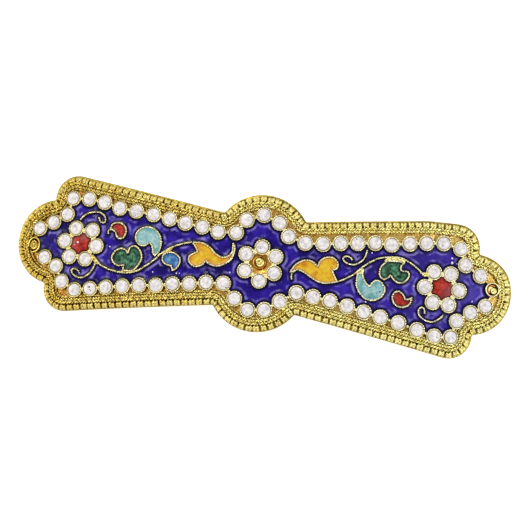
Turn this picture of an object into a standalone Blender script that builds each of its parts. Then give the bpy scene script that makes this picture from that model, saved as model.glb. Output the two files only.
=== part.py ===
"""An arched hair clip: a gilt filigree plate set with fired enamel, riveted to a plain spring clasp.

Every piece is first drawn flat, in millimetres: u runs along the clip, v across it, and h is the
height over the top face of the sheet. arch_point() then lays the drawing on the arch, and the scene
is in metres, +Z up, with the clip lying face up on z = 0.
"""

import math

import bmesh
import bpy
from mathutils import Vector
from mathutils.geometry import delaunay_2d_cdt, intersect_point_line

MM = 0.001

# Arch, sheet and the small gap between pieces that touch
ARCH_RADIUS = 150.0
CROWN_HEIGHT = 9.3
SHEET_THICKNESS = 0.8
GAP = 0.3
FLOOR_OF_INLAY = GAP

# Outline of the plate, given for the quarter with u and v positive
HALF_LENGTH = 45.4
LOBE_RADIUS = 7.55
LOBE_CENTRE_U = HALF_LENGTH - LOBE_RADIUS
SHOULDER_CENTRE = (34.9, 8.0)
SHOULDER_RADIUS = 4.2
NECK = (7.3, 8.2)
CROWN_CENTRE_V = 3.45
CROWN_RADIUS = 8.7
# How the real plate departs from its mirror image: fuller above, smaller at the upper right shoulder
UPPER_LIFT = 0.22
SMALL_SHOULDER_FROM = 29.0
SMALL_SHOULDER_TO = 44.5
SMALL_SHOULDER_SHIFT = (-0.40, -0.65)
CORNER_FILLET = 0.4
CORNER_STEPS = 3
OUTLINE_STEP = 2.0
SHOULDER_STEP = 1.4
STRAIGHT_STEP = 4.6
CORNER_TRIM = 4.0

# Profile of the border, as distance in from the outline and height: edge, beaded rim, plaited wire
BORDER_PROFILE = (
    (0.25, -0.80), (0.00, -0.60), (0.00, -0.12), (0.20, 0.05),
    (0.22, 0.60), (0.50, 0.96), (0.80, 1.06), (1.10, 0.96), (1.42, 0.42),
    (1.70, 0.56), (1.95, 0.00),
)
CAP_POINT_SPACING = 4.6
CAP_ROW_V = 6.4
CAP_MARGIN = 1.0

# Enamel dots and the ribbon of wire that ties each row together
DOT_RADIUS = 1.35
DOT_SIDES = 10
DOT_HEIGHT = 1.25
DOT_SHOULDER = 0.72
RING_HEIGHT = 0.90
DOT_SHOULDER_HEIGHT = 1.13
RIBBON_HALF_WIDTH = 0.32
RIBBON_SINK = 0.2

# row, first dot, last dot, how many; dots of a run are evenly spaced on a straight line
DOT_RUNS = (
    ("upper", (-40.70, 2.15), (-36.00, 5.15), 3),
    ("upper", (-35.30, 8.00), (-35.30, 8.00), 1),
    ("upper", (-32.20, 8.15), (-7.80, 4.60), 9),
    ("upper", (-4.70, 4.75), (-4.70, 4.75), 1),
    ("upper", (-3.05, 7.55), (-3.05, 7.55), 1),
    ("upper", (-0.10, 8.50), (-0.10, 8.50), 1),
    ("upper", (2.85, 7.50), (2.85, 7.50), 1),
    ("upper", (4.70, 5.25), (4.70, 5.25), 1),
    ("upper", (7.65, 4.45), (31.95, 7.85), 9),
    ("upper", (34.85, 7.35), (34.85, 7.35), 1),
    ("upper", (36.40, 4.65), (36.40, 4.65), 1),
    ("upper", (39.20, 3.15), (39.20, 3.15), 1),
    ("lower", (-39.35, -2.95), (-36.85, -4.35), 2),
    ("lower", (-35.40, -7.00), (-35.40, -7.00), 1),
    ("lower", (-32.70, -8.20), (-8.80, -4.55), 9),
    ("lower", (-5.60, -4.45), (-5.60, -4.45), 1),
    ("lower", (-3.40, -6.75), (-3.40, -6.75), 1),
    ("lower", (-0.90, -8.45), (-0.90, -8.45), 1),
    ("lower", (2.10, -8.05), (2.10, -8.05), 1),
    ("lower", (4.40, -6.00), (4.40, -6.00), 1),
    ("lower", (7.25, -4.25), (22.50, -6.60), 6),
    ("lower", (25.70, -7.20), (32.20, -8.20), 3),
    ("lower", (35.15, -8.30), (35.15, -8.30), 1),
    ("lower", (35.80, -5.45), (35.80, -5.45), 1),
    ("lower", (38.20, -3.65), (40.75, -2.10), 2),
)

# Flowers of six petals: name, centre, angle of the first petal
ROSETTES = (
    ("left", (-32.65, 0.10), 0.0),
    ("centre", (0.25, -0.10), 30.0),
    ("right", (32.50, -0.10), 0.0),
)
PETALS = 6
PETAL_ORBIT = 3.05
PETAL_RADIUS = 1.33
PETAL_SIDES = 12
PETAL_RING_HEIGHT = 0.95
PETAL_SHOULDER = 0.7
PETAL_SHOULDER_HEIGHT = 1.17
PETAL_HEIGHT = 1.30
EYE_RADIUS = 1.30
EYE_POINT_RADIUS = 1.9
EYE_HEART_RADIUS = 0.8
EYE_HEIGHT = 0.95
EYE_EDGE_HEIGHT = 0.80

# Rivets: name and place, and their turned profile as radius and height
RIVETS = (
    ("left", (-41.55, -0.85)),
    ("centre", (0.25, 0.00)),
    ("right", (41.45, 1.00)),
)
RIVET_HOLE_RADIUS = 0.85
RIVET_SIDES = 10
RIVET_COLLAR_RADIUS = 1.0
RIVET_PROFILE = (
    (0.00, -2.75), (0.95, -2.75), (0.95, -2.20), (0.50, -2.20), (0.50, 0.30),
    (1.00, 0.30), (1.00, 0.95), (0.75, 0.95), (0.65, 0.70), (0.50, 1.05), (0.00, 1.25),
)

# Blue ground and the wires that run over it
FIELD_HEIGHT = 0.75
STRAND_HEIGHT = 1.0
STRAND_HALF_WIDTH = 0.25
STRAND_STEP = 1.1
FIELDS = ("blue_field", "left_tip_field", "right_tip_field")

# Leaves: walls of wire round an enamel floor. SHARP marks a corner of the outline
SHARP = True
LEAF_HEIGHT = 1.0
LEAF_WALL = 0.3
LEAF_ENAMEL_HEIGHT = 0.85
LEAF_SAMPLES = 2
MITRE_LIMIT = 0.35
OFFSET_SLACK = 0.9
LEAVES = (
    ("red_leaf_left", "red", (
        (-27.5, 3.1, SHARP), (-27.0, 3.1), (-26.4, 2.7), (-26.1, 2.05), (-25.45, 1.65),
        (-24.8, 2.0), (-24.5, 3.05), (-24.95, 4.05), (-25.95, 4.5), (-27.1, 4.15),
    )),
    ("turquoise_leaf_left", "turquoise", (
        (-18.65, -0.7, SHARP), (-18.05, 0.1), (-17.8, 1.5), (-18.3, 3.0), (-19.5, 4.05),
        (-20.9, 4.2), (-22.2, 3.45), (-22.6, 2.2), (-21.9, 1.05), (-20.8, 0.85),
        (-19.85, 1.45), (-19.3, 0.8), (-19.05, -0.3),
    )),
    ("green_leaf_left", "green", (
        (-24.15, -3.9, SHARP), (-23.2, -3.95), (-22.1, -3.6), (-21.25, -2.35), (-21.0, -1.1),
        (-21.6, 0.05), (-22.5, 0.6), (-23.35, 0.2), (-23.6, -0.85, SHARP), (-24.2, -0.2),
        (-25.1, -0.1), (-26.1, -0.8), (-26.45, -2.1), (-25.4, -3.1), (-24.1, -3.0, SHARP),
    )),
    ("blue_leaf_left", "pale_blue", (
        (-15.1, -3.0, SHARP), (-14.55, -2.65), (-14.05, -1.75), (-14.1, -0.7), (-15.1, 0.05),
        (-16.3, 0.1), (-17.1, -0.5), (-17.1, -1.5), (-16.35, -2.05), (-15.4, -2.25, SHARP),
    )),
    ("yellow_leaf_left", "yellow", (
        (-4.9, 1.5, SHARP), (-5.5, 0.6), (-6.7, 0.3), (-7.9, 0.85), (-9.1, 1.9),
        (-10.6, 2.45), (-12.1, 2.35, SHARP), (-11.0, 0.85, SHARP), (-11.7, 0.4), (-12.45, -0.2),
        (-12.3, -1.2), (-11.2, -1.85), (-10.0, -1.45), (-9.4, -0.6, SHARP), (-8.5, -1.2),
        (-7.1, -1.3), (-5.55, -0.45), (-4.7, 0.8),
    )),
    ("yellow_leaf_right", "yellow", (
        (5.7, -0.8, SHARP), (6.1, -0.75), (6.8, -0.3), (7.8, -0.45), (9.1, -1.15),
        (10.7, -1.9), (12.2, -2.0), (14.0, -1.5, SHARP), (13.4, -0.5), (12.9, 0.4, SHARP),
        (13.7, 0.85), (13.7, 1.85), (12.8, 2.6), (11.6, 2.5), (10.7, 1.8),
        (10.35, 0.75, SHARP), (9.2, 1.5), (7.85, 1.5), (6.45, 0.55),
    )),
    ("turquoise_leaf_right", "turquoise", (
        (17.5, 0.5, SHARP), (17.4, -0.3), (17.5, -1.75), (18.4, -3.15), (19.5, -3.85),
        (20.9, -3.85), (22.1, -3.0), (22.5, -1.75), (21.8, -0.65), (20.8, -0.35),
        (20.05, -1.0), (19.85, -1.6, SHARP), (19.0, -1.0), (18.45, -0.1), (18.2, 0.7, SHARP),
    )),
    ("green_leaf_right", "green", (
        (22.2, 3.2, SHARP), (21.4, 2.25), (21.2, 1.15), (21.5, 0.35), (22.15, 0.05),
        (22.8, 0.4), (23.2, 0.95, SHARP), (23.8, 0.25), (24.65, -0.2), (25.6, -0.05),
        (26.2, 0.6), (26.45, 1.45), (26.05, 1.95), (25.2, 1.9), (24.8, 2.25, SHARP),
        (24.9, 2.85), (25.4, 3.45, SHARP), (24.4, 3.5), (22.9, 3.45),
    )),
    ("red_leaf_right", "red", (
        (27.4, -2.5, SHARP), (27.0, -2.8), (26.3, -3.0, SHARP), (25.9, -2.3), (25.15, -1.75),
        (24.5, -1.85), (24.1, -2.3), (24.0, -3.1), (24.55, -4.05), (25.45, -4.45),
        (26.35, -4.3), (27.2, -3.6),
    )),
)

# Stems, scrolls and tails: the route of each wire over the blue ground
STRANDS = (
    ("left_stem", ((-29.7, -2.2), (-28.5, -3.3), (-26.5, -4.05), (-24.0, -4.35), (-21.9, -3.95),
                   (-20.3, -2.9), (-18.7, -1.55), (-17.5, -0.2), (-15.9, 1.0), (-14.1, 1.85),
                   (-12.3, 2.4))),
    ("right_stem", ((14.1, -1.5), (15.7, -0.6), (17.1, 0.5), (17.85, 1.4), (19.2, 2.6),
                    (20.8, 3.6), (22.8, 4.1), (24.6, 4.2), (26.2, 3.65), (27.4, 3.0),
                    (29.2, 1.7))),
    ("upper_left_scroll", ((-33.35, 4.4), (-32.7, 5.2), (-31.9, 5.7), (-30.8, 6.0), (-29.8, 6.0),
                           (-29.0, 5.55), (-28.6, 4.85), (-28.75, 4.3), (-29.3, 4.25),
                           (-29.7, 4.65), (-29.9, 5.1))),
    ("lower_left_scroll", ((-29.4, -2.95), (-29.6, -3.8), (-30.05, -4.8), (-30.75, -5.55),
                           (-31.7, -6.0), (-32.8, -5.85), (-33.55, -5.25), (-33.7, -4.8),
                           (-33.3, -4.5), (-32.75, -4.6), (-32.3, -4.95))),
    ("upper_right_scroll", ((18.6, 4.75), (18.3, 3.35), (17.4, 2.3), (16.3, 1.85), (15.1, 2.1),
                            (14.55, 2.65), (14.9, 3.15), (15.6, 3.15), (16.2, 2.7))),
    ("lower_right_scroll", ((33.3, -4.8), (32.7, -5.5), (31.7, -6.2), (30.4, -6.2), (29.4, -5.7),
                            (28.9, -5.0), (28.9, -4.35), (29.35, -3.95), (29.8, -4.2),
                            (30.0, -5.0))),
    ("left_leaf_tail", ((-4.8, 1.6), (-4.75, 2.3), (-4.7, 3.0))),
    ("right_leaf_tail", ((6.0, -1.1), (5.95, -1.5), (6.05, -2.1))),
    ("red_leaf_tail", ((-27.7, 3.0), (-27.8, 2.7), (-27.7, 2.3))),
)

# Clasp: a strip riveted under the plate, two cheeks and the flat spring arm, as one plain piece
STRIP_THICKNESS = 0.8
STRIP_TOP = -SHEET_THICKNESS - GAP
STRIP_BOTTOM = STRIP_TOP - STRIP_THICKNESS
STRIP_HALF_LENGTH = 43.4
STRIP_HALF_WIDTH = 3.2
ARM_THICKNESS = 1.0
ARM_HALF_WIDTH = 2.8
ARM_HALF_LENGTH = 37.5
CHEEK_LENGTH = 3.0
CHEEK_SINK = 0.4
STRIP_STEP = 4.6
STRIP_END_ANGLES = (-60, -30, 0, 30, 60)

MERGE_DISTANCE = 0.001
SMOOTH_ANGLE = 35
INLAY_SMOOTH_ANGLE = 50

# sRGB colour, roughness, metallic
FINISHES = {
    "gilt_silver": ("#D9B23A", 0.28, 1.0),
    "white_enamel": ("#E9E5EC", 0.18, 0.0),
    "blue_enamel": ("#2A1FA5", 0.12, 0.0),
    "yellow_enamel": ("#E0A81E", 0.2, 0.0),
    "green_enamel": ("#1F6B43", 0.2, 0.0),
    "turquoise_enamel": ("#8FD0CF", 0.2, 0.0),
    "pale_blue_enamel": ("#3B86C8", 0.2, 0.0),
    "red_enamel": ("#B8302A", 0.2, 0.0),
    "spring_steel": ("#B9A05A", 0.35, 1.0),
}


def clear_scene():
    for obj in list(bpy.data.objects):
        bpy.data.objects.remove(obj, do_unlink=True)


def linear(channel):
    return channel / 12.92 if channel <= 0.04045 else ((channel + 0.055) / 1.055) ** 2.4


def finish(name):
    """The named material, made once."""
    if name in bpy.data.materials:
        return bpy.data.materials[name]
    colour, roughness, metallic = FINISHES[name]
    material = bpy.data.materials.new(name)
    material.use_nodes = True
    shader = material.node_tree.nodes["Principled BSDF"]
    channels = [int(colour[i:i + 2], 16) / 255 for i in (1, 3, 5)]
    shader.inputs["Base Color"].default_value = (*map(linear, channels), 1)
    shader.inputs["Roughness"].default_value = roughness
    shader.inputs["Metallic"].default_value = metallic
    return material


def arch_point(u, v, h):
    """The place in metres of a point of the flat drawing."""
    turn = u / ARCH_RADIUS
    reach = ARCH_RADIUS + h
    return Vector((reach * math.sin(turn), v, CROWN_HEIGHT - ARCH_RADIUS + reach * math.cos(turn))) * MM


def polar(centre, radius, degrees):
    angle = math.radians(degrees)
    return Vector((centre[0] + radius * math.cos(angle), centre[1] + radius * math.sin(angle)))


def ring(centre, radius, sides, start=0.0):
    return [polar(centre, radius, start + 360 * i / sides) for i in range(sides)]


def grown_ring(centre, radius, sides, start=0.0):
    """A ring whose flat sides lie one gap outside those of ring()."""
    return ring(centre, radius + GAP / math.cos(math.pi / sides), sides, start)


def distance_to_path(point, path, closed=False):
    ends = zip(path, path[1:] + path[:1]) if closed else zip(path, path[1:])
    best = math.inf
    for a, b in ends:
        foot, share = intersect_point_line(point, a, b)
        share = min(max(share, 0), 1)
        best = min(best, (point - (a + (b - a) * share).to_2d()).length)
    return best


def inside(point, loop):
    """Whether the point is inside the closed loop, by crossings of a ray along u."""
    crossings = 0
    for a, b in zip(loop, loop[1:] + loop[:1]):
        if (a.y > point.y) != (b.y > point.y):
            crossings += point.x < a.x + (point.y - a.y) * (b.x - a.x) / (b.y - a.y)
    return crossings % 2 == 1


# Outline of the plate


def arc(centre, radius, first, last, step):
    """Points and outward normals along an arc."""
    count = max(2, round(abs(math.radians(last - first)) * radius / step))
    angles = [first + (last - first) * i / count for i in range(count + 1)]
    return [(polar(centre, radius, a), polar((0, 0), 1, a)) for a in angles]


def hollow_corner(corner, first, last):
    """A small fillet in a corner that points into the plate, with its normals."""
    before, after = polar((0, 0), 1, first), polar((0, 0), 1, last)
    centre = Vector(corner) + (before + after) * (CORNER_FILLET / (1 + before.dot(after)))
    turns = [first + (last - first) * i / CORNER_STEPS for i in range(CORNER_STEPS + 1)]
    return [(centre - polar((0, 0), CORNER_FILLET, a), polar((0, 0), 1, a)) for a in turns]


def quarter_outline():
    """Points and normals from the tip round to the crown, for u and v positive."""
    side_u = SHOULDER_CENTRE[0] + SHOULDER_RADIUS
    notch_angle = math.degrees(math.acos((side_u - LOBE_CENTRE_U) / LOBE_RADIUS))
    notch = polar((LOBE_CENTRE_U, 0), LOBE_RADIUS, notch_angle)
    reach = Vector(SHOULDER_CENTRE) - Vector(NECK)
    lean = math.degrees(math.asin(SHOULDER_RADIUS / reach.length) + math.atan2(reach.y, reach.x))
    slope_angle = 90 + lean
    crown_angle = math.degrees(math.atan2(NECK[1] - CROWN_CENTRE_V, NECK[0]))
    points = arc((LOBE_CENTRE_U, 0), LOBE_RADIUS, 0, notch_angle - CORNER_TRIM, OUTLINE_STEP)
    points += hollow_corner(notch, notch_angle, 0)
    points += arc(SHOULDER_CENTRE, SHOULDER_RADIUS, 0, slope_angle, SHOULDER_STEP)
    start, slope = points[-1]
    run = Vector(NECK) - start
    count = math.ceil(run.length / STRAIGHT_STEP)
    points += [(start + run * (i / count), slope) for i in range(1, count)]
    points += hollow_corner(NECK, slope_angle, crown_angle)
    points += arc((0, CROWN_CENTRE_V), CROWN_RADIUS, crown_angle + CORNER_TRIM, 90, OUTLINE_STEP)
    return points


def hand_fitted(point):
    """A point of the even outline moved to where the real edge runs."""
    above = min(1, max(0, point.y / 4))
    near = min(1, max(0, (point.x - SMALL_SHOULDER_FROM) / 6))
    near *= min(1, max(0, (SMALL_SHOULDER_TO - point.x) / 5))
    return point + above * (Vector((0, UPPER_LIFT)) + near * Vector(SMALL_SHOULDER_SHIFT))


def plate_outline():
    """The whole outline, anticlockwise, with each point's outward normal."""
    quarter = quarter_outline()

    def mirrored(pairs, along, across):
        return [(Vector((p.x * along, p.y * across)), Vector((n.x * along, n.y * across))) for p, n in pairs]

    loop = quarter[:-1]
    loop += mirrored(quarter[::-1], -1, 1)[:-1]
    loop += mirrored(quarter, -1, -1)[:-1]
    loop += mirrored(quarter[::-1], 1, -1)[:-1]
    return [(hand_fitted(p), n) for p, n in loop]


def inset_ring(outline, distance):
    return [p - n * distance for p, n in outline]


# Meshes drawn in the plan


def plan_patches(loops, keep, lines=(), points=()):
    """The plan cut along loops and lines: its points, and patches of the triangles that keep() takes."""
    coords, edges = [], []
    for path, closed in [(loop, True) for loop in loops] + [(line, False) for line in lines]:
        start, count = len(coords), len(path)
        coords += [p.copy() for p in path]
        edges += [(start + i, start + (i + 1) % count) for i in range(count if closed else count - 1)]
    coords += [p.copy() for p in points]
    plan, _, faces, *_ = delaunay_2d_cdt(coords, edges, [], 0, MERGE_DISTANCE)
    return plan, patches_of([f for f in faces if keep((plan[f[0]] + plan[f[1]] + plan[f[2]]) / 3)])


def sides_of(triangle):
    return list(zip(triangle, triangle[1:] + triangle[:1]))


def patches_of(triangles):
    """The triangles as patches that hang together by their edges, the largest patch first."""
    by_edge = {}
    for index, triangle in enumerate(triangles):
        for side in sides_of(triangle):
            by_edge.setdefault(frozenset(side), []).append(index)
    patches, seen = [], set()
    for first in range(len(triangles)):
        patch, queue = [], [first]
        while queue:
            index = queue.pop()
            if index in seen:
                continue
            seen.add(index)
            patch.append(triangles[index])
            for side in sides_of(triangles[index]):
                queue += by_edge[frozenset(side)]
        patches.append(patch)
    return sorted(filter(None, patches), key=len, reverse=True)


def slab(plan, triangles, top):
    """A closed body over a patch of the plan, from the inlay's floor up to top(point)."""
    used = sorted({i for triangle in triangles for i in triangle})
    bm = bmesh.new()
    upper = {i: bm.verts.new((*plan[i], top(plan[i]))) for i in used}
    lower = {i: bm.verts.new((*plan[i], FLOOR_OF_INLAY)) for i in used}
    directed = {side for triangle in triangles for side in sides_of(triangle)}
    for triangle in triangles:
        bm.faces.new([upper[i] for i in triangle])
        bm.faces.new([lower[i] for i in reversed(triangle)])
    for a, b in directed:
        if (b, a) not in directed:
            bm.faces.new((upper[b], upper[a], lower[a], lower[b]))
    return bm


def join_loops(bm, lower, upper):
    """Quads between two loops of vertices."""
    for i in range(len(lower)):
        j = (i + 1) % len(lower)
        bm.faces.new((lower[i], lower[j], upper[j], upper[i]))


def turned(profile, sides):
    """A closed turned body from a profile of radius and height that starts and ends on the axis."""
    bm = bmesh.new()
    foot = bm.verts.new((0, 0, profile[0][1]))
    head = bm.verts.new((0, 0, profile[-1][1]))
    rings = [[bm.verts.new((*p, h)) for p in ring((0, 0), r, sides)] for r, h in profile[1:-1]]
    for lower, upper in zip(rings, rings[1:]):
        join_loops(bm, lower, upper)
    for i in range(sides):
        j = (i + 1) % sides
        bm.faces.new((foot, rings[0][j], rings[0][i]))
        bm.faces.new((head, rings[-1][i], rings[-1][j]))
    return bm


def add_object(name, bm, finish_name, parent, place=(0, 0, 0), turn=0.0, smooth=SMOOTH_ANGLE):
    """Turns a finished bmesh into a named object under the parent, shaded smooth below an angle."""
    bmesh.ops.recalc_face_normals(bm, faces=bm.faces)
    mesh = bpy.data.meshes.new(name)
    bm.to_mesh(mesh)
    bm.free()
    mesh.shade_smooth()
    mesh.set_sharp_from_angle(angle=math.radians(smooth))
    mesh.materials.append(finish(finish_name))
    return place_mesh(name, mesh, parent, place, turn)


def place_mesh(name, mesh, parent, place, turn):
    obj = bpy.data.objects.new(name, mesh)
    bpy.context.scene.collection.objects.link(obj)
    obj.parent = parent
    obj.location = place
    obj.rotation_euler.y = turn
    return obj


def bend(bm, centre):
    """Lays a flat drawing on the arch, with its origin at the arched place of centre."""
    origin = arch_point(*centre, 0)
    for vert in bm.verts:
        vert.co = arch_point(*vert.co) - origin
    return origin


def middle_of(loop):
    return sum(loop, Vector((0, 0))) / len(loop)


def smooth_loop(points, samples):
    """A closed curve through the points, smooth except at those marked SHARP."""
    spots = [Vector(p[:2]) for p in points]
    sharp = [len(p) > 2 for p in points]
    count = len(spots)
    curve = []
    for i in range(count):
        a, b = spots[i], spots[(i + 1) % count]
        leave = b - a if sharp[i] else (b - spots[i - 1]) / 2
        arrive = b - a if sharp[(i + 1) % count] else (spots[(i + 2) % count] - a) / 2
        curve += [hermite(a, b, leave, arrive, k / samples) for k in range(samples)]
    return curve


def smooth_path(points, step):
    """An open curve through the points, with about one point per step."""
    spots = [Vector(p) for p in points]
    curve = []
    for i in range(len(spots) - 1):
        a, b = spots[i], spots[i + 1]
        leave = b - a if i == 0 else (b - spots[i - 1]) / 2
        arrive = b - a if i == len(spots) - 2 else (spots[i + 2] - a) / 2
        count = max(1, round((b - a).length / step))
        curve += [hermite(a, b, leave, arrive, k / count) for k in range(count)]
    return curve + [spots[-1]]


def hermite(a, b, leave, arrive, t):
    t2, t3 = t * t, t * t * t
    return a * (2 * t3 - 3 * t2 + 1) + leave * (t3 - 2 * t2 + t) + b * (3 * t2 - 2 * t3) + arrive * (t3 - t2)


def offset_loop(loop, distance):
    """The loop moved outwards by the distance, or inwards if it is negative."""
    moved = []
    area = sum(a.cross(b) for a, b in zip(loop, loop[1:] + loop[:1]))
    side = 1 if area > 0 else -1
    for before, spot, after in zip(loop[-1:] + loop[:-1], loop, loop[1:] + loop[:1]):
        first, last = (spot - before).normalized(), (after - spot).normalized()
        normals = [Vector((t.y, -t.x)) * side for t in (first, last)]
        spread = max(MITRE_LIMIT, (1 + normals[0].dot(normals[1])) / 2)
        moved.append(spot + (normals[0] + normals[1]) / 2 * (distance / spread))
    return [p for p in moved if distance_to_path(p, loop, True) > OFFSET_SLACK * abs(distance)]


# The pieces


def row_of_dots(row):
    """Centres of one row of dots, from the left end to the right end."""
    centres = []
    for name, first, last, count in DOT_RUNS:
        if name == row:
            steps = max(1, count - 1)
            centres += [Vector(first).lerp(Vector(last), i / steps) for i in range(count)]
    return centres


def ribbon(a, b, half_width):
    """The corners of a straight ribbon that reaches a little into both dots."""
    along = (b - a).normalized()
    side = Vector((-along.y, along.x)) * half_width
    reach = along * (DOT_RADIUS - RIBBON_SINK)
    return [a + reach - side, b - reach - side, b - reach + side, a + reach + side]


def dot_sides_start(centres, index):
    """The turn of a dot that sets one flat side towards the next dot of its row."""
    other = centres[index + 1] if index + 1 < len(centres) else centres[index - 1]
    towards = other - centres[index]
    return math.degrees(math.atan2(towards.y, towards.x)) + 180 / DOT_SIDES


def make_dot_row(row, parent):
    """One row of white dots in their wire rings, on the ribbon that ties them."""
    centres = row_of_dots(row)
    starts = [dot_sides_start(centres, i) for i in range(len(centres))]
    rims = [ring(c, DOT_RADIUS, DOT_SIDES, s) for c, s in zip(centres, starts)]
    shoulders = [ring(c, DOT_RADIUS * DOT_SHOULDER, DOT_SIDES, s) for c, s in zip(centres, starts)]
    ties = [ribbon(a, b, RIBBON_HALF_WIDTH) for a, b in zip(centres, centres[1:])]

    def keep(p):
        return any(inside(p, loop) for loop in rims + ties)

    def reach(p):
        return min((p - c).length for c in centres) / DOT_RADIUS

    def top(p):
        if reach(p) > (1 + DOT_SHOULDER) / 2:
            return RING_HEIGHT
        return DOT_HEIGHT if reach(p) < DOT_SHOULDER / 2 else DOT_SHOULDER_HEIGHT

    plan, patches = plan_patches(rims + ties, keep, [s + s[:1] for s in shoulders], centres)
    bm = slab(plan, patches[0], top)
    under = [v for v in bm.verts if v.co.z < RING_HEIGHT / 2]
    hidden = [v for v in under if reach(v.co.xy) < (1 + DOT_SHOULDER) / 2]
    bmesh.ops.dissolve_verts(bm, verts=hidden)
    origin = bend(bm, middle_of(centres))
    return add_object(f"{row}_dots", bm, "white_enamel", parent, origin)


def make_plate(parent):
    """Sheet, beaded rim and plaited wire as one soldered body, with its three rivet holes."""
    outline = plate_outline()
    bm = bmesh.new()
    rings = [[bm.verts.new((*p, h)) for p in inset_ring(outline, d)] for d, h in BORDER_PROFILE]
    for lower, upper in zip(rings, rings[1:]):
        join_loops(bm, lower, upper)
    holes = [ring(place, RIVET_HOLE_RADIUS, RIVET_SIDES) for _, place in RIVETS]
    spots = cap_points(outline, holes)
    for verts, distance, height in ((rings[0], BORDER_PROFILE[0][0], -SHEET_THICKNESS),
                                    (rings[-1], BORDER_PROFILE[-1][0], 0.0)):
        edge = inset_ring(outline, distance)

        def keep(p):
            return inside(p, edge) and not any(inside(p, hole) for hole in holes)

        plan, patches = plan_patches([edge, *holes], keep, points=spots)
        made = [verts[i] if i < len(edge) else bm.verts.new((*plan[i], height)) for i in range(len(plan))]
        for triangle in patches[0]:
            bm.faces.new([made[i] for i in triangle])
    for hole in holes:
        lower, upper = ([bm.verts.new((*p, h)) for p in hole] for h in (-SHEET_THICKNESS, 0.0))
        join_loops(bm, lower, upper)
    bmesh.ops.remove_doubles(bm, verts=bm.verts, dist=MERGE_DISTANCE)
    origin = bend(bm, (0, 0))
    return add_object("filigree_plate", bm, "gilt_silver", parent, origin)


def cap_points(outline, holes):
    """Points spread over the sheet, so that its faces follow the arch."""
    edge = inset_ring(outline, BORDER_PROFILE[-1][0] + CAP_MARGIN)
    columns = int(HALF_LENGTH / CAP_POINT_SPACING)
    spots = []
    for i in range(-columns, columns + 1):
        for v in (-CAP_ROW_V, 0, CAP_ROW_V):
            spot = Vector((i * CAP_POINT_SPACING, v))
            clear = all((spot - middle_of(hole)).length > 2 * RIVET_HOLE_RADIUS for hole in holes)
            if clear and inside(spot, edge):
                spots.append(spot)
    return spots


def petal_places(centre, first_angle):
    return [polar(centre, PETAL_ORBIT, first_angle + 360 * i / PETALS) for i in range(PETALS)]


def make_petals(parent):
    """Eighteen white petals that share one mesh, each in its wire ring."""
    profile = (
        (0, FLOOR_OF_INLAY), (PETAL_RADIUS, FLOOR_OF_INLAY), (PETAL_RADIUS, PETAL_RING_HEIGHT),
        (PETAL_RADIUS * PETAL_SHOULDER, PETAL_SHOULDER_HEIGHT), (0, PETAL_HEIGHT),
    )
    mesh = None
    for name, centre, first_angle in ROSETTES:
        for number, spot in enumerate(petal_places(centre, first_angle), start=1):
            place, turn = arch_point(*spot, 0), spot.x / ARCH_RADIUS
            if mesh is None:
                bm = turned(profile, PETAL_SIDES)
                bmesh.ops.scale(bm, vec=(MM, MM, MM), verts=bm.verts)
                mesh = add_object(f"{name}_petal_{number}", bm, "white_enamel", parent, place, turn).data
            else:
                place_mesh(f"{name}_petal_{number}", mesh, parent, place, turn)


def make_eyes(parent):
    """Red enamel between the petals of the two outer flowers, as a six-pointed cushion."""
    for name, centre, first_angle in ROSETTES:
        if name == "centre":
            continue
        points = []
        for i in range(2 * PETALS):
            reach = EYE_RADIUS if i % 2 == 0 else EYE_POINT_RADIUS
            points.append(polar((0, 0), reach, first_angle + 180 * i / PETALS))
        heart = ring((0, 0), EYE_HEART_RADIUS, PETALS, first_angle)

        def top(p):
            return EYE_HEIGHT if p.length < (EYE_HEART_RADIUS + EYE_RADIUS) / 2 else EYE_EDGE_HEIGHT

        plan, patches = plan_patches([points], lambda p: inside(p, points), [heart + heart[:1]])
        bm = slab(plan, patches[0], top)
        bmesh.ops.scale(bm, vec=(MM, MM, MM), verts=bm.verts)
        add_object(f"{name}_eye", bm, "red_enamel", parent, arch_point(*centre, 0), centre[0] / ARCH_RADIUS)


def make_rivets(parent):
    """Three rivets that share one mesh: collar and granule above, shank through, head below."""
    bm = turned(RIVET_PROFILE, RIVET_SIDES)
    bmesh.ops.scale(bm, vec=(MM, MM, MM), verts=bm.verts)
    mesh = None
    for name, spot in RIVETS:
        place, turn = arch_point(*spot, 0), spot[0] / ARCH_RADIUS
        if mesh is None:
            mesh = add_object(f"{name}_rivet", bm, "gilt_silver", parent, place, turn).data
        else:
            place_mesh(f"{name}_rivet", mesh, parent, place, turn)


def make_leaf(name, enamel, points, parent):
    """One leaf: a wall of wire, with the enamel a little lower inside it."""
    loop = smooth_loop(points, LEAF_SAMPLES)
    floor = offset_loop(loop, -LEAF_WALL)

    def top(p):
        wall = distance_to_path(p, loop, True) < LEAF_WALL / 2
        return LEAF_HEIGHT if wall else LEAF_ENAMEL_HEIGHT

    plan, patches = plan_patches([loop], lambda p: inside(p, loop), points=floor)
    bm = slab(plan, patches[0], top)
    origin = bend(bm, middle_of(loop))
    return add_object(name, bm, f"{enamel}_enamel", parent, origin, smooth=INLAY_SMOOTH_ANGLE)


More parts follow.
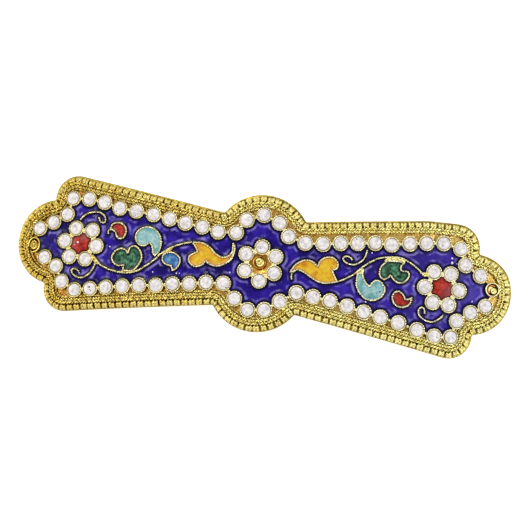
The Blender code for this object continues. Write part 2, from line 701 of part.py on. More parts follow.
def make_fields(parent):
    """The blue ground between dots, petals, leaves and rivets, in three patches, with the wires over it."""
    upper, lower = row_of_dots("upper"), row_of_dots("lower")
    rivets = {name: Vector(place) for name, place in RIVETS}
    edge = upper + [rivets["right"]] + lower[::-1] + [rivets["left"]]
    cuts = []
    for centres in (upper, lower):
        for i, centre in enumerate(centres):
            cuts.append(grown_ring(centre, DOT_RADIUS, DOT_SIDES, dot_sides_start(centres, i)))
        cuts += [ribbon(a, b, RIBBON_HALF_WIDTH + GAP) for a, b in zip(centres, centres[1:])]
    for _, centre, first_angle in ROSETTES:
        for spot in petal_places(centre, first_angle):
            cuts.append(grown_ring(spot, PETAL_RADIUS, PETAL_SIDES))
    for spot in rivets.values():
        cuts.append(grown_ring(spot, RIVET_COLLAR_RADIUS, RIVET_SIDES))
    for _, _, points in LEAVES:
        cuts.append(offset_loop(smooth_loop(points, LEAF_SAMPLES), GAP))
    hearts = [ring(centre, PETAL_ORBIT, PETALS, first_angle) for _, centre, first_angle in ROSETTES]
    routes = [smooth_path(points, STRAND_STEP) for _, points in STRANDS]
    flanks = [line for route in routes for line in strand_flanks(route)]

    def keep(p):
        return inside(p, edge) and not any(inside(p, cut) for cut in cuts + hearts)

    def top(p):
        reach = min(distance_to_path(p, route) for route in routes)
        return STRAND_HEIGHT if reach < STRAND_HALF_WIDTH / 2 else FIELD_HEIGHT

    plan, patches = plan_patches([edge, *cuts], keep, routes + flanks)
    patches = patches[:1] + sorted(patches[1:3], key=lambda patch: plan[patch[0][0]].x)
    for name, patch in zip(FIELDS, patches):
        bm = slab(plan, patch, top)
        middle = sum((plan[i] for triangle in patch for i in triangle), Vector((0, 0))) / (3 * len(patch))
        origin = bend(bm, middle)
        add_object(name, bm, "blue_enamel", parent, origin, smooth=INLAY_SMOOTH_ANGLE)


def strand_flanks(route):
    """The two lines beside a wire, without the points that a tight curl brings too near to it."""
    flanks = []
    for side in (-1, 1):
        line = []
        for i, spot in enumerate(route):
            along = (route[min(i + 1, len(route) - 1)] - route[max(i - 1, 0)]).normalized()
            moved = spot + Vector((-along.y, along.x)) * side * STRAND_HALF_WIDTH
            if distance_to_path(moved, route) > OFFSET_SLACK * STRAND_HALF_WIDTH:
                line.append(moved)
        flanks.append(line)
    return flanks


def make_clasp(parent):
    """The strip under the plate, joined to two cheeks and the flat arm."""
    strip = strip_body()
    strip_origin = bend(strip, (0, 0))
    clasp = add_object("clasp", strip, "spring_steel", parent, strip_origin)
    bracket = bracket_object(parent)
    union = clasp.modifiers.new("join", "BOOLEAN")
    union.operation = "UNION"
    union.solver = "EXACT"
    union.object = bracket
    return clasp


def strip_body():
    """The strip with round ends and three rivet holes, drawn flat."""
    columns = math.ceil(2 * (STRIP_HALF_LENGTH - STRIP_HALF_WIDTH) / STRIP_STEP)
    reach = STRIP_HALF_LENGTH - STRIP_HALF_WIDTH
    along = [-reach + 2 * reach * i / columns for i in range(columns + 1)]
    loop = [Vector((u, -STRIP_HALF_WIDTH)) for u in along]
    loop += [polar((reach, 0), STRIP_HALF_WIDTH, a) for a in STRIP_END_ANGLES]
    loop += [Vector((u, STRIP_HALF_WIDTH)) for u in reversed(along)]
    loop += [polar((-reach, 0), STRIP_HALF_WIDTH, 180 + a) for a in STRIP_END_ANGLES]
    holes = [ring(place, RIVET_HOLE_RADIUS, RIVET_SIDES) for _, place in RIVETS]

    def keep(p):
        return inside(p, loop) and not any(inside(p, hole) for hole in holes)

    plan, patches = plan_patches([loop, *holes], keep)
    bm = slab(plan, patches[0], lambda p: FLOOR_OF_INLAY + STRIP_THICKNESS)
    bmesh.ops.translate(bm, vec=(0, 0, STRIP_BOTTOM - FLOOR_OF_INLAY), verts=bm.verts)
    return bm


def bracket_object(parent):
    """Cheeks and arm as a wide U seen from the side, which the clasp's union takes in."""
    inner = ARM_HALF_LENGTH - CHEEK_LENGTH

    def cheek_top(x):
        reach = ARCH_RADIUS + STRIP_BOTTOM + CHEEK_SINK
        return CROWN_HEIGHT - ARCH_RADIUS + math.sqrt(reach * reach - x * x)

    side = [(-ARM_HALF_LENGTH, 0), (ARM_HALF_LENGTH, 0), (ARM_HALF_LENGTH, cheek_top(ARM_HALF_LENGTH)),
            (inner, cheek_top(inner)), (inner, ARM_THICKNESS), (-inner, ARM_THICKNESS),
            (-inner, cheek_top(inner)), (-ARM_HALF_LENGTH, cheek_top(ARM_HALF_LENGTH))]
    bm = bmesh.new()
    near = [bm.verts.new((x * MM, -ARM_HALF_WIDTH * MM, z * MM)) for x, z in side]
    face = bm.faces.new(near)
    moved = bmesh.ops.extrude_face_region(bm, geom=[face])["geom"]
    verts = [item for item in moved if isinstance(item, bmesh.types.BMVert)]
    bmesh.ops.translate(bm, vec=(0, 2 * ARM_HALF_WIDTH * MM, 0), verts=verts)
    bracket = add_object("clasp_bracket", bm, "spring_steel", parent)
    bracket.hide_render = True
    bracket.display_type = "WIRE"
    return bracket


def main():
    clear_scene()
    clip = bpy.data.objects.new("hair_clip", None)
    bpy.context.scene.collection.objects.link(clip)
    make_plate(clip)
    make_dot_row("upper", clip)
    make_dot_row("lower", clip)
    make_petals(clip)
    make_eyes(clip)
    make_rivets(clip)
    for name, enamel, points in LEAVES:
        make_leaf(name, enamel, points, clip)
    make_fields(clip)
    make_clasp(clip)


main()
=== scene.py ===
"""Looks of an arched hair clip: gilt filigree and fired enamel, built round the fixed CAD frame.

Every piece of the face is drawn flat first, as the CAD is: u along the clip, v across it and h over the
top of the sheet, in millimetres. bend() then lays the finished mesh on the arch, in metres.
"""

import math

import bmesh
import bpy
import numpy as np
from mathutils import Matrix, Vector, noise
from mathutils.geometry import delaunay_2d_cdt
from mathutils.kdtree import KDTree


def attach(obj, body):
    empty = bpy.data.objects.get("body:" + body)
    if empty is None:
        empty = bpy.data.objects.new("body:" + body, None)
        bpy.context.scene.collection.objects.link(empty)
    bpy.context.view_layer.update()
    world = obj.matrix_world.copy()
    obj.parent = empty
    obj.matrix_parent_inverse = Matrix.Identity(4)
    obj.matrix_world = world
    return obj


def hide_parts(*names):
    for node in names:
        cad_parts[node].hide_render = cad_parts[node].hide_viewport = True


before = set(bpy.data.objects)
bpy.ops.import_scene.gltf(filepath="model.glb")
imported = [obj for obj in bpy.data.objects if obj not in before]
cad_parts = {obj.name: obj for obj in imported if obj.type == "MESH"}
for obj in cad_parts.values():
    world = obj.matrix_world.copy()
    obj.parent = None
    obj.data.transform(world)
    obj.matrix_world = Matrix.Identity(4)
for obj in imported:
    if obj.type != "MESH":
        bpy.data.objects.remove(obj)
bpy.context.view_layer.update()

MM = 0.001

# The arch and the sheet, as in the CAD
ARCH_RADIUS = 150.0
CROWN_HEIGHT = 9.3

# The outline, for the quarter with u and v positive
HALF_LENGTH = 45.4
LOBE_RADIUS = 7.55
LOBE_CENTRE_U = HALF_LENGTH - LOBE_RADIUS
SHOULDER_CENTRE = (34.9, 8.0)
SHOULDER_RADIUS = 4.2
NECK = (7.3, 8.2)
CROWN_CENTRE_V = 3.45
CROWN_RADIUS = 8.7
# How the real plate departs from its mirror image: fuller above, smaller at the upper right shoulder
UPPER_LIFT = 0.22
SMALL_SHOULDER_FROM = 29.0
SMALL_SHOULDER_TO = 44.5
SMALL_SHOULDER_SHIFT = (-0.40, -0.65)
CORNER_FILLET = 0.4
CORNER_TRIM = 4.0
CORNER_STEPS = 6
OUTLINE_STEP = 0.5
# Distance in and height along the sheet's softened edge, from its underside up to its top
SHEET_EDGE = ((0.30, -0.80), (0.06, -0.74), (0.0, -0.60), (0.0, -0.16), (0.05, -0.04), (0.16, 0.0),
              (0.36, 0.0))
SHEET_GRID = 1.5

# Bead wire round the edge
BEAD_INSET = 0.78
BEAD_SHIFT = -0.18
# How much further in the wires lie at the two tips
TIP_INSET = 0.26
BEAD_CENTRE_HEIGHT = 0.46
BEAD_PITCH = 1.33
BEAD_SIDES = 12
BEAD_SIZE_SPREAD = 0.10
# Half of one bead, from its middle to its neck, as distance along the wire and radius: a ridge with a dip
BEAD_PROFILE = ((0.0, 0.43), (0.10, 0.48), (0.27, 0.61), (0.43, 0.58), (0.55, 0.42), (0.61, 0.22))
# Dents of the beads, as depth, grain and seed
BEAD_DENTS = ((0.15, 0.65, 1.0), (0.06, 0.28, 3.0))
# Height where the painted shade low on the beads' flanks begins, how fast it grows below that, and its most
FLANK_SHADE_TOP = 0.97
FLANK_SHADE_FADE = 0.36
FLANK_SHADE_SHARE = 0.7
# The two twisted wires inside the beads, as distance in and hand
PLAIT_INSETS = ((1.44, 1.0), (1.96, -1.0))
PLAIT_HEIGHT = 0.70
PLAIT_SHIFT = -0.08
PLAIT_WIRE = 0.15
PLAIT_ORBIT = 0.14
PLAIT_PITCH = 1.04
# The single fine wire inside the plait, along the upper left, the left and the bottom
LACE_INSET = 2.46
LACE_HEIGHT = 0.46
LACE_WIRE = 0.12
LACE_ORBIT = 0.10
LACE_PITCH = 0.80
LACE_END = (40.0, -3.6)
# Grains of solder in the trough between the plait and the dots
GRAIN_INSET = 2.30
GRAIN_RADIUS = 0.20
GRAIN_SPACING = 0.52
GRAIN_PROFILE = ((0.0, -0.1), (0.8, 0.1), (1.0, 0.45), (0.7, 0.85), (0.0, 1.0))

# How high the inlays' undersides lie over the sheet
INLAY_FLOOR = 0.02

# Rings, dots and petals
RING_CENTRE_RADIUS = 1.31
RING_WIRE = 0.060
RING_ORBIT = 0.052
RING_PITCH = 0.90
RING_HEIGHT = 0.84
RING_SAMPLES = 36
CUP_RADIUS = 1.22
CUP_WALL = 0.06
CUP_HEIGHT = 0.88
DOT_RADIUS = 1.17
DOT_SIDES = 28
DOT_RISE = 0.20
DOT_EDGE_HEIGHT = 0.89
# The cup wall of a dot, as radius and height, and the drops of solder between neighbouring rings
CUP_PROFILE = ((0, INLAY_FLOOR), (CUP_RADIUS, INLAY_FLOOR), (CUP_RADIUS, CUP_HEIGHT - 0.04),
               (CUP_RADIUS - 0.03, CUP_HEIGHT), (CUP_RADIUS - CUP_WALL, CUP_HEIGHT),
               (CUP_RADIUS - CUP_WALL, 0.5), (0, 0.5))
DROP_GAP = 3.5
DROP_TURNS = (0.0, 0.5, 1.0, 1.5, 2.0, 2.5, math.pi)

# Centres of the dots of each row, from left to right: given one by one, so none is quite in line
DOTS = {
    "upper": (
        (-40.97, 2.18), (-38.43, 3.54), (-36.01, 5.17), (-35.28, 8.14), (-32.22, 8.28),
        (-29.20, 7.91), (-26.24, 7.13), (-23.09, 6.90), (-19.89, 6.58), (-16.88, 6.10),
        (-13.91, 5.65), (-10.82, 5.30), (-7.88, 4.73), (-4.70, 4.95), (-3.11, 7.42),
        (-0.18, 8.63), (2.74, 7.59), (4.62, 5.41), (7.62, 4.59), (10.77, 4.79),
        (13.78, 5.35), (16.78, 5.76), (19.82, 6.20), (22.74, 6.32), (25.88, 6.94),
        (28.85, 7.47), (31.88, 7.88), (35.02, 7.32), (36.24, 4.59), (39.12, 3.14),
    ),
    "lower": (
        (-39.32, -2.92), (-36.89, -4.37), (-35.38, -7.03), (-32.70, -8.29), (-29.79, -7.83),
        (-26.86, -7.29), (-23.82, -6.78), (-20.86, -6.29), (-17.77, -6.00), (-14.77, -5.44),
        (-11.80, -5.06), (-8.86, -4.49), (-5.78, -4.29), (-3.49, -6.74), (-0.91, -8.44),
        (2.01, -8.06), (4.52, -6.28), (7.24, -4.41), (10.20, -4.71), (13.20, -5.08),
        (16.33, -5.61), (19.34, -6.25), (22.33, -6.74), (25.63, -7.27), (29.03, -8.04),
        (32.19, -8.73), (35.12, -8.47), (35.85, -5.54), (38.17, -3.68), (40.69, -2.17),
    ),
}

# Flowers of six petals: the middle and the centre of each petal
FLOWERS = {
    "left": ((-32.65, 0.1), (
        (-29.71, -0.07), (-30.82, 2.63), (-33.93, 2.76), (-35.78, 0.33), (-34.52, -2.43), (-31.47, -2.56),
    )),
    "centre": ((0.25, -0.1), (
        (2.76, 1.50), (0.26, 2.92), (-2.41, 1.39), (-2.29, -1.56), (0.42, -3.08), (2.86, -1.42),
    )),
    "right": ((32.5, -0.1), (
        (35.60, -0.10), (33.80, 2.63), (30.79, 2.55), (29.46, -0.30), (31.17, -2.78), (34.04, -2.90),
    )),
}
EYE_HEIGHT = 0.80
HEART_SHEET_HEIGHT = 0.46
# Which way the painted shade darkens the middle flower's sheet, and how strongly
HEART_SHADE_WAY = (-0.6, 0.8)
HEART_SHADE_SHARE = 0.6
RIVETS = {"left": (-41.55, -0.85), "centre": (0.25, 0.00), "right": (41.45, 1.00)}
RIVET_REACH = {"left": (0.98, 1.24), "right": (1.38, 1.38)}
# How far the grains, pits and walls lie beside the rivets' own places
RIVET_SHIFTS = {"left": (-0.18, 0.0), "centre": (-0.16, 0.20), "right": (0.18, 0.0)}
RIVET_HOLE = 0.7

# Wires over the enamel
WIRE_RADIUS = 0.072
WIRE_ORBIT = 0.072
WIRE_PITCH = 0.86
WIRE_CENTRE_HEIGHT = 0.87
WIRE_SPREAD = 0.12

# Painted glints, as small white domes in the enamel: place and radius
GLINT_DOMES = (((33.78, 4.64), 0.24), ((33.68, 5.44), 0.19), ((34.67, 4.62), 0.11), ((38.20, -1.62), 0.13),
           ((27.60, -0.39), 0.11), ((19.44, -4.34), 0.16), ((19.49, 4.42), 0.12), ((-27.16, 0.07), 0.13),
           ((-32.26, -5.18), 0.13), ((-18.63, -3.67), 0.13), ((-17.74, 1.88), 0.12), ((-14.36, -3.43), 0.13),
           ((-13.81, -3.37), 0.11), ((-4.90, -2.20), 0.14), ((-8.20, 3.40), 0.12))
EYE_GLINT_DOMES = (((-33.23, 0.28), 0.20), ((-33.75, -0.20), 0.12))
# Pits where soot was caught in the enamel: place, radius and height
SOOT_PITS = (((-29.83, -7.54), 0.15, 1.03), ((-0.98, 8.25), 0.17, 0.90), ((-5.20, -4.95), 0.15, 0.93),
             ((-24.28, 8.09), 0.20, 0.62), ((21.73, -2.25), 0.17, 0.66), ((21.20, -2.60), 0.09, 0.64),
             ((36.35, 3.70), 0.12, 0.93))

# Enamel between the wires: it creeps up every wall
FIELD_LOW = 0.64
FIELD_RISE = 0.14
FIELD_CREEP = 0.60
FIELD_GRID = 0.24
FIELD_WAVE = 0.09
FIELD_RIPPLE = 0.03
LEAF_LOW = 0.74
LEAF_RISE = 0.14
LEAF_CREEP = 0.22
LEAF_GRID = 0.20
LEAF_WAVE = 0.03

# Leaves: outline of the wire round each. SHARP marks a corner of the outline
SHARP = True
LEAVES = (
    ("red_leaf_left", "red", (
        (-27.5, 3.1, SHARP), (-27.0, 3.1), (-26.4, 2.7), (-26.1, 2.05), (-25.45, 1.65),
        (-24.8, 2.0), (-24.5, 3.05), (-24.95, 4.05), (-25.95, 4.5), (-27.1, 4.15),
    )),
    ("turquoise_leaf_left", "turquoise", (
        (-18.65, -0.7, SHARP), (-18.05, 0.1), (-17.8, 1.5), (-18.3, 3.0), (-19.5, 4.05),
        (-20.9, 4.2), (-22.2, 3.45), (-22.6, 2.2), (-21.9, 1.05), (-20.8, 0.85),
        (-19.85, 1.45), (-19.3, 0.8), (-19.05, -0.3),
    )),
    ("green_leaf_left", "green", (
        (-24.15, -3.9, SHARP), (-23.2, -3.95), (-22.1, -3.6), (-21.25, -2.35), (-21.0, -1.1),
        (-21.6, 0.05), (-22.5, 0.6), (-23.35, 0.2), (-23.6, -0.85, SHARP), (-24.2, -0.2),
        (-25.1, -0.1), (-26.1, -0.8), (-26.45, -2.1), (-25.4, -3.1), (-24.1, -3.0, SHARP),
    )),
    ("blue_leaf_left", "pale_blue", (
        (-15.1, -3.0, SHARP), (-14.55, -2.65), (-14.05, -1.75), (-14.1, -0.7), (-15.1, 0.05),
        (-16.3, 0.1), (-17.1, -0.5), (-17.1, -1.5), (-16.35, -2.05), (-15.4, -2.25, SHARP),
    )),
    ("yellow_leaf_left", "yellow", (
        (-4.9, 1.5, SHARP), (-5.5, 0.6), (-6.7, 0.3), (-7.9, 0.85), (-9.1, 1.9),
        (-10.6, 2.45), (-12.1, 2.35, SHARP), (-11.0, 0.85, SHARP), (-11.7, 0.4), (-12.45, -0.2),
        (-12.3, -1.2), (-11.2, -1.85), (-10.0, -1.45), (-9.4, -0.6, SHARP), (-8.5, -1.2),
        (-7.1, -1.3), (-5.55, -0.45), (-4.7, 0.8),
    )),
    ("yellow_leaf_right", "yellow", (
        (5.7, -0.8, SHARP), (6.1, -0.75), (6.8, -0.3), (7.8, -0.45), (9.1, -1.15),
        (10.7, -1.9), (12.2, -2.0), (14.0, -1.5, SHARP), (13.4, -0.5), (12.9, 0.4, SHARP),
        (13.7, 0.85), (13.7, 1.85), (12.8, 2.6), (11.6, 2.5), (10.7, 1.8),
        (10.35, 0.75, SHARP), (9.2, 1.5), (7.85, 1.5), (6.45, 0.55),
    )),
    ("turquoise_leaf_right", "turquoise", (
        (17.5, 0.5, SHARP), (17.4, -0.3), (17.5, -1.75), (18.4, -3.15), (19.5, -3.85),
        (20.9, -3.85), (22.1, -3.0), (22.5, -1.75), (21.8, -0.65), (20.8, -0.35),
        (20.05, -1.0), (19.85, -1.6, SHARP), (19.0, -1.0), (18.45, -0.1), (18.2, 0.7, SHARP),
    )),
    ("green_leaf_right", "green", (
        (22.2, 3.2, SHARP), (21.4, 2.25), (21.2, 1.15), (21.5, 0.35), (22.15, 0.05),
        (22.8, 0.4), (23.2, 0.95, SHARP), (23.8, 0.25), (24.65, -0.2), (25.6, -0.05),
        (26.2, 0.6), (26.45, 1.45), (26.05, 1.95), (25.2, 1.9), (24.8, 2.25, SHARP),
        (24.9, 2.85), (25.4, 3.45, SHARP), (24.4, 3.5), (22.9, 3.45),
    )),
    ("red_leaf_right", "red", (
        (27.4, -2.5, SHARP), (27.0, -2.8), (26.3, -3.0, SHARP), (25.9, -2.3), (25.15, -1.75),
        (24.5, -1.85), (24.1, -2.3), (24.0, -3.1), (24.55, -4.05), (25.45, -4.45),
        (26.35, -4.3), (27.2, -3.6),
    )),
)

# Stems, scrolls and tails: the route of each wire over the blue ground
STRANDS = (
    ((-29.7, -2.2), (-28.5, -3.3), (-26.5, -4.05), (-24.0, -4.35), (-21.9, -3.95),
     (-20.3, -2.9), (-18.7, -1.55), (-17.5, -0.2), (-15.9, 1.0), (-14.1, 1.85), (-12.3, 2.4)),
    ((14.1, -1.5), (15.7, -0.6), (17.1, 0.5), (17.85, 1.4), (19.2, 2.6), (20.8, 3.6),
     (22.8, 4.1), (24.6, 4.2), (26.2, 3.65), (27.4, 3.0), (29.2, 1.7)),
    ((-33.35, 4.4), (-32.7, 5.2), (-31.9, 5.7), (-30.8, 6.0), (-29.8, 6.0),
     (-29.0, 5.55), (-28.6, 4.85), (-28.75, 4.3), (-29.3, 4.25), (-29.7, 4.65), (-29.9, 5.1)),
    ((-29.4, -2.95), (-29.6, -3.8), (-30.05, -4.8), (-30.75, -5.55), (-31.7, -6.0),
     (-32.8, -5.85), (-33.55, -5.25), (-33.7, -4.8), (-33.3, -4.5), (-32.75, -4.6), (-32.3, -4.95)),
    ((18.6, 4.75), (18.3, 3.35), (17.4, 2.3), (16.3, 1.85), (15.1, 2.1),
     (14.55, 2.65), (14.9, 3.15), (15.6, 3.15), (16.2, 2.7)),
    ((33.3, -4.8), (32.7, -5.5), (31.7, -6.2), (30.4, -6.2), (29.4, -5.7),
     (28.9, -5.0), (28.9, -4.35), (29.35, -3.95), (29.8, -4.2), (30.0, -5.0)),
    ((-4.88, 1.6), (-4.92, 2.3), (-4.97, 3.0)),
    ((-4.93, 3.0), (-4.66, 2.6), (-4.55, 1.8), (-4.64, 0.9), (-4.98, 0.1), (-5.4, -0.4)),
    ((6.0, -1.1), (5.95, -1.5), (6.05, -2.1)),
    ((-27.7, 3.0), (-27.8, 2.7), (-27.7, 2.3)),
)

# Places where solder fills the corner between two wires, as small outlines
SOLDER_FILLS = (
    ((-24.4, -3.95), (-23.2, -4.0), (-22.0, -3.65), (-21.7, -3.8), (-22.9, -4.2), (-24.2, -4.35)),
    ((21.9, 3.2), (23.2, 3.45), (25.0, 3.5), (25.5, 3.5), (25.2, 4.1), (23.4, 4.15), (22.2, 3.95)),
    ((-18.3, -1.2), (-17.9, -0.1), (-17.0, -0.4), (-16.2, 0.1), (-15.6, 1.1), (-17.0, 0.3)),
    ((17.1, 0.3), (17.5, 0.3), (18.3, 0.6), (18.3, 1.5), (17.7, 1.4), (17.0, 0.7)),
    ((-30.1, -1.7), (-29.1, -2.5), (-28.7, -3.2), (-29.4, -3.3), (-29.8, -2.9), (-30.6, -2.5)),
    ((29.9, 1.6), (28.9, 1.7), (28.3, 2.2), (28.9, 2.3), (30.0, 2.4), (30.6, 2.2)),
)


# Drawing helpers


def polar(centre, radius, degrees):
    angle = math.radians(degrees)
    return Vector((centre[0] + radius * math.cos(angle), centre[1] + radius * math.sin(angle)))


def circle(centre, radius, sides):
    return [polar(centre, radius, 360 * i / sides) for i in range(sides)]


def oval(centre, reach, sides=36):
    return [centre + p * Vector(reach) for p in circle((0, 0), 1, sides)]


def arc(centre, radius, first, last):
    """Points and outward normals along an arc of the outline."""
    count = max(2, round(abs(math.radians(last - first)) * radius / OUTLINE_STEP))
    angles = [first + (last - first) * i / count for i in range(count + 1)]
    return [(polar(centre, radius, a), polar((0, 0), 1, a)) for a in angles]


def hollow_corner(corner, first, last):
    """A small fillet in a corner that points into the plate, with its normals."""
    before, after = polar((0, 0), 1, first), polar((0, 0), 1, last)
    centre = Vector(corner) + (before + after) * (CORNER_FILLET / (1 + before.dot(after)))
    turns = [first + (last - first) * i / CORNER_STEPS for i in range(CORNER_STEPS + 1)]
    return [(centre - polar((0, 0), CORNER_FILLET, a), polar((0, 0), 1, a)) for a in turns]


def quarter_outline():
    """Points and normals from the tip round to the crown, for u and v positive."""
    side_u = SHOULDER_CENTRE[0] + SHOULDER_RADIUS
    notch_angle = math.degrees(math.acos((side_u - LOBE_CENTRE_U) / LOBE_RADIUS))
    notch = polar((LOBE_CENTRE_U, 0), LOBE_RADIUS, notch_angle)
    reach = Vector(SHOULDER_CENTRE) - Vector(NECK)
    lean = math.degrees(math.asin(SHOULDER_RADIUS / reach.length) + math.atan2(reach.y, reach.x))
    slope_angle = 90 + lean
    crown_angle = math.degrees(math.atan2(NECK[1] - CROWN_CENTRE_V, NECK[0]))
    points = arc((LOBE_CENTRE_U, 0), LOBE_RADIUS, 0, notch_angle - CORNER_TRIM)
    points += hollow_corner(notch, notch_angle, 0)
    points += arc(SHOULDER_CENTRE, SHOULDER_RADIUS, 0, slope_angle)
    start, slope = points[-1]
    run = Vector(NECK) - start
    count = math.ceil(run.length / OUTLINE_STEP)
    points += [(start + run * (i / count), slope) for i in range(1, count)]
    points += hollow_corner(NECK, slope_angle, crown_angle)
    points += arc((0, CROWN_CENTRE_V), CROWN_RADIUS, crown_angle + CORNER_TRIM, 90)
    return points


def hand_fitted(point):
    """A point of the even outline moved to where the real edge runs."""
    above = min(1, max(0, point.y / 4))
    near = min(1, max(0, (point.x - SMALL_SHOULDER_FROM) / 6))
    near *= min(1, max(0, (SMALL_SHOULDER_TO - point.x) / 5))
    return point + above * (Vector((0, UPPER_LIFT)) + near * Vector(SMALL_SHOULDER_SHIFT))


def plate_outline():
    """The whole outline, anticlockwise, with each point's outward normal."""
    quarter = quarter_outline()
    loop = []
    for along, across in ((1, 1), (-1, 1), (-1, -1), (1, -1)):
        flip = Vector((along, across))
        loop += [(p * flip, n * flip) for p, n in quarter[::along * across]][:-1]
    return [(hand_fitted(p), n) for p, n in loop]


def inset(outline, distance):
    return [p - n * distance for p, n in outline]


def rim_inset(outline, distance, shift):
    """The path of a rim wire, shifted across the clip: at the tips it lies further in."""
    return [p - n * (distance + TIP_INSET * max(0, n.x * p.x / HALF_LENGTH)) + Vector((0, shift))
            for p, n in outline]


def hermite(a, b, leave, arrive, t):
    t2, t3 = t * t, t * t * t
    return a * (2 * t3 - 3 * t2 + 1) + leave * (t3 - 2 * t2 + t) + b * (3 * t2 - 2 * t3) + arrive * (t3 - t2)


def smooth(points, closed, samples):
    """A curve through the points: smooth, but for those marked SHARP and the ends of an open one."""
    spots = [Vector(p[:2]) for p in points]
    count = len(spots)
    sharp = [len(p) > 2 for p in points]
    if not closed:
        sharp[0] = sharp[-1] = True
    curve = []
    for i in range(count if closed else count - 1):
        a, b = spots[i], spots[(i + 1) % count]
        leave = b - a if sharp[i] else (b - spots[i - 1]) / 2
        arrive = b - a if sharp[(i + 1) % count] else (spots[(i + 2) % count] - a) / 2
        curve += [hermite(a, b, leave, arrive, k / samples) for k in range(samples)]
    return curve if closed else curve + [spots[-1]]


def row_of_dots(row):
    return [Vector(place) for place in DOTS[row]]


def petals_of(flower):
    return [Vector(place) for place in FLOWERS[flower][1]]


def ring(centre):
    return circle(centre, RING_CENTRE_RADIUS, RING_SAMPLES)


def rivet_place(name):
    return Vector(RIVETS[name]) + Vector(RIVET_SHIFTS[name])


def inside(points, loop):
    """For each point, whether it is inside the closed loop, by crossings of a ray along u."""
    x, y = points[:, 0], points[:, 1]
    crossed = np.zeros(len(points), bool)
    for a, b in zip(loop, loop[1:] + loop[:1]):
        if a.y != b.y:
            spans = (a.y > y) != (b.y > y)
            crossed ^= spans & (x < a.x + (y - a.y) * (b.x - a.x) / (b.y - a.y))
    return crossed


def between(edge, holes=()):
    """A test that keeps the points inside an edge and outside every hole."""
    def keep(points):
        kept = inside(points, edge)
        for hole in holes:
            kept &= ~inside(points, hole)
        return kept
    return keep


def samples_along(path, closed, step=0.06):
    """Points along a polyline, at most a step apart."""
    spots = []
    for a, b in zip(path, path[1:] + path[:1] if closed else path[1:]):
        count = max(1, math.ceil((b - a).length / step))
        spots += [a.lerp(b, k / count) for k in range(count)]
    return spots + [path[-1]]


def polylines(paths):
    """Points and edges of paths, each given with whether it is closed."""
    points, edges = [], []
    for path, closed in paths:
        start, count = len(points), len(path)
        points += path
        edges += [(start + i, start + (i + 1) % count) for i in range(count if closed else count - 1)]
    return points, edges


def distances_to(walls):
    """A function that gives each point's distance to the nearest wall."""
    tree = KDTree(len(walls))
    for i, wall in enumerate(walls):
        tree.insert((wall.x, wall.y, 0), i)
    tree.balance()
    return lambda points: np.array([tree.find((x, y, 0))[2] for x, y in points])


# Meshes


def arched(points):
    """Points of the flat drawing laid on the arch, in metres."""
    turn = points[:, 0] / ARCH_RADIUS
    reach = ARCH_RADIUS + points[:, 2]
    height = CROWN_HEIGHT - ARCH_RADIUS + reach * np.cos(turn)
    return np.column_stack((reach * np.sin(turn), points[:, 1], height)) * MM


def coordinates(mesh):
    found = np.empty(len(mesh.vertices) * 3)
    mesh.vertices.foreach_get("co", found)
    return found.reshape(-1, 3)


def bend(mesh):
    """Lays a mesh of the flat drawing, in millimetres, on the arch."""
    mesh.vertices.foreach_set("co", arched(coordinates(mesh)).ravel())
    mesh.update()
    return mesh


def new_mesh(name, points, faces):
    mesh = bpy.data.meshes.new(name)
    mesh.from_pydata([tuple(p) for p in points], [], [tuple(f) for f in faces])
    mesh.validate()
    return mesh


def joined(name, meshes):
    """One mesh out of several, whose materials and point attributes stay."""
    bm = bmesh.new()
    for mesh in meshes:
        bm.from_mesh(mesh)
    result = bpy.data.meshes.new(name)
    bm.to_mesh(result)
    bm.free()
    return result


def roughened(mesh, depth, grain, seed):
    """Moves the points of a flat drawing a little along their normals, as hand work leaves them."""
    co = coordinates(mesh)
    normals = np.empty(len(mesh.vertices) * 3)
    mesh.vertices.foreach_get("normal", normals)
    shift = np.array([noise.noise(Vector(p) / grain + Vector((seed, 0, 0))) for p in co]) * depth
    mesh.vertices.foreach_set("co", (co + normals.reshape(-1, 3) * shift[:, None]).ravel())
    mesh.update()
    return mesh


def set_values(mesh, name, values):
    """Gives each point of a mesh its value of a named attribute."""
    mesh.attributes.new(name, "FLOAT", "POINT").data.foreach_set("value", values)
    return mesh


def turned(profile, sides):
    """Points and faces of a closed turned body; its profile of radius and height ends on the axis."""
    points = [(0, 0, profile[0][1])]
    for radius, height in profile[1:-1]:
        points += [(*p, height) for p in circle((0, 0), radius, sides)]
    points.append((0, 0, profile[-1][1]))
    rings, faces, head = len(profile) - 2, [], len(points) - 1
    for i in range(sides):
        j = (i + 1) % sides
        faces.append((0, 1 + j, 1 + i))
        for k in range(rings - 1):
            low, high = 1 + k * sides, 1 + (k + 1) * sides
            faces.append((low + i, low + j, high + j, high + i))
        last = 1 + (rings - 1) * sides
        faces.append((last + i, last + j, head))
    return np.array(points), faces


def turned_mesh(name, profile, sides, place=(0, 0), scale=(1, 1, 1)):
    """A turned body at a place of the plan."""
    points, faces = turned(profile, sides)
    return new_mesh(name, points * scale + (*place, 0), faces)


def ball(name, place, radius, low, high, turns, sides, stretch=1.0):
    """A round body from low to high, cut at the given turns; stretch lengthens it across the clip."""
    profile = [(radius * math.sin(t), low + (high - low) / 2 * (1 - math.cos(t))) for t in turns]
    return turned_mesh(name, profile, sides, place, (1, stretch, 1))


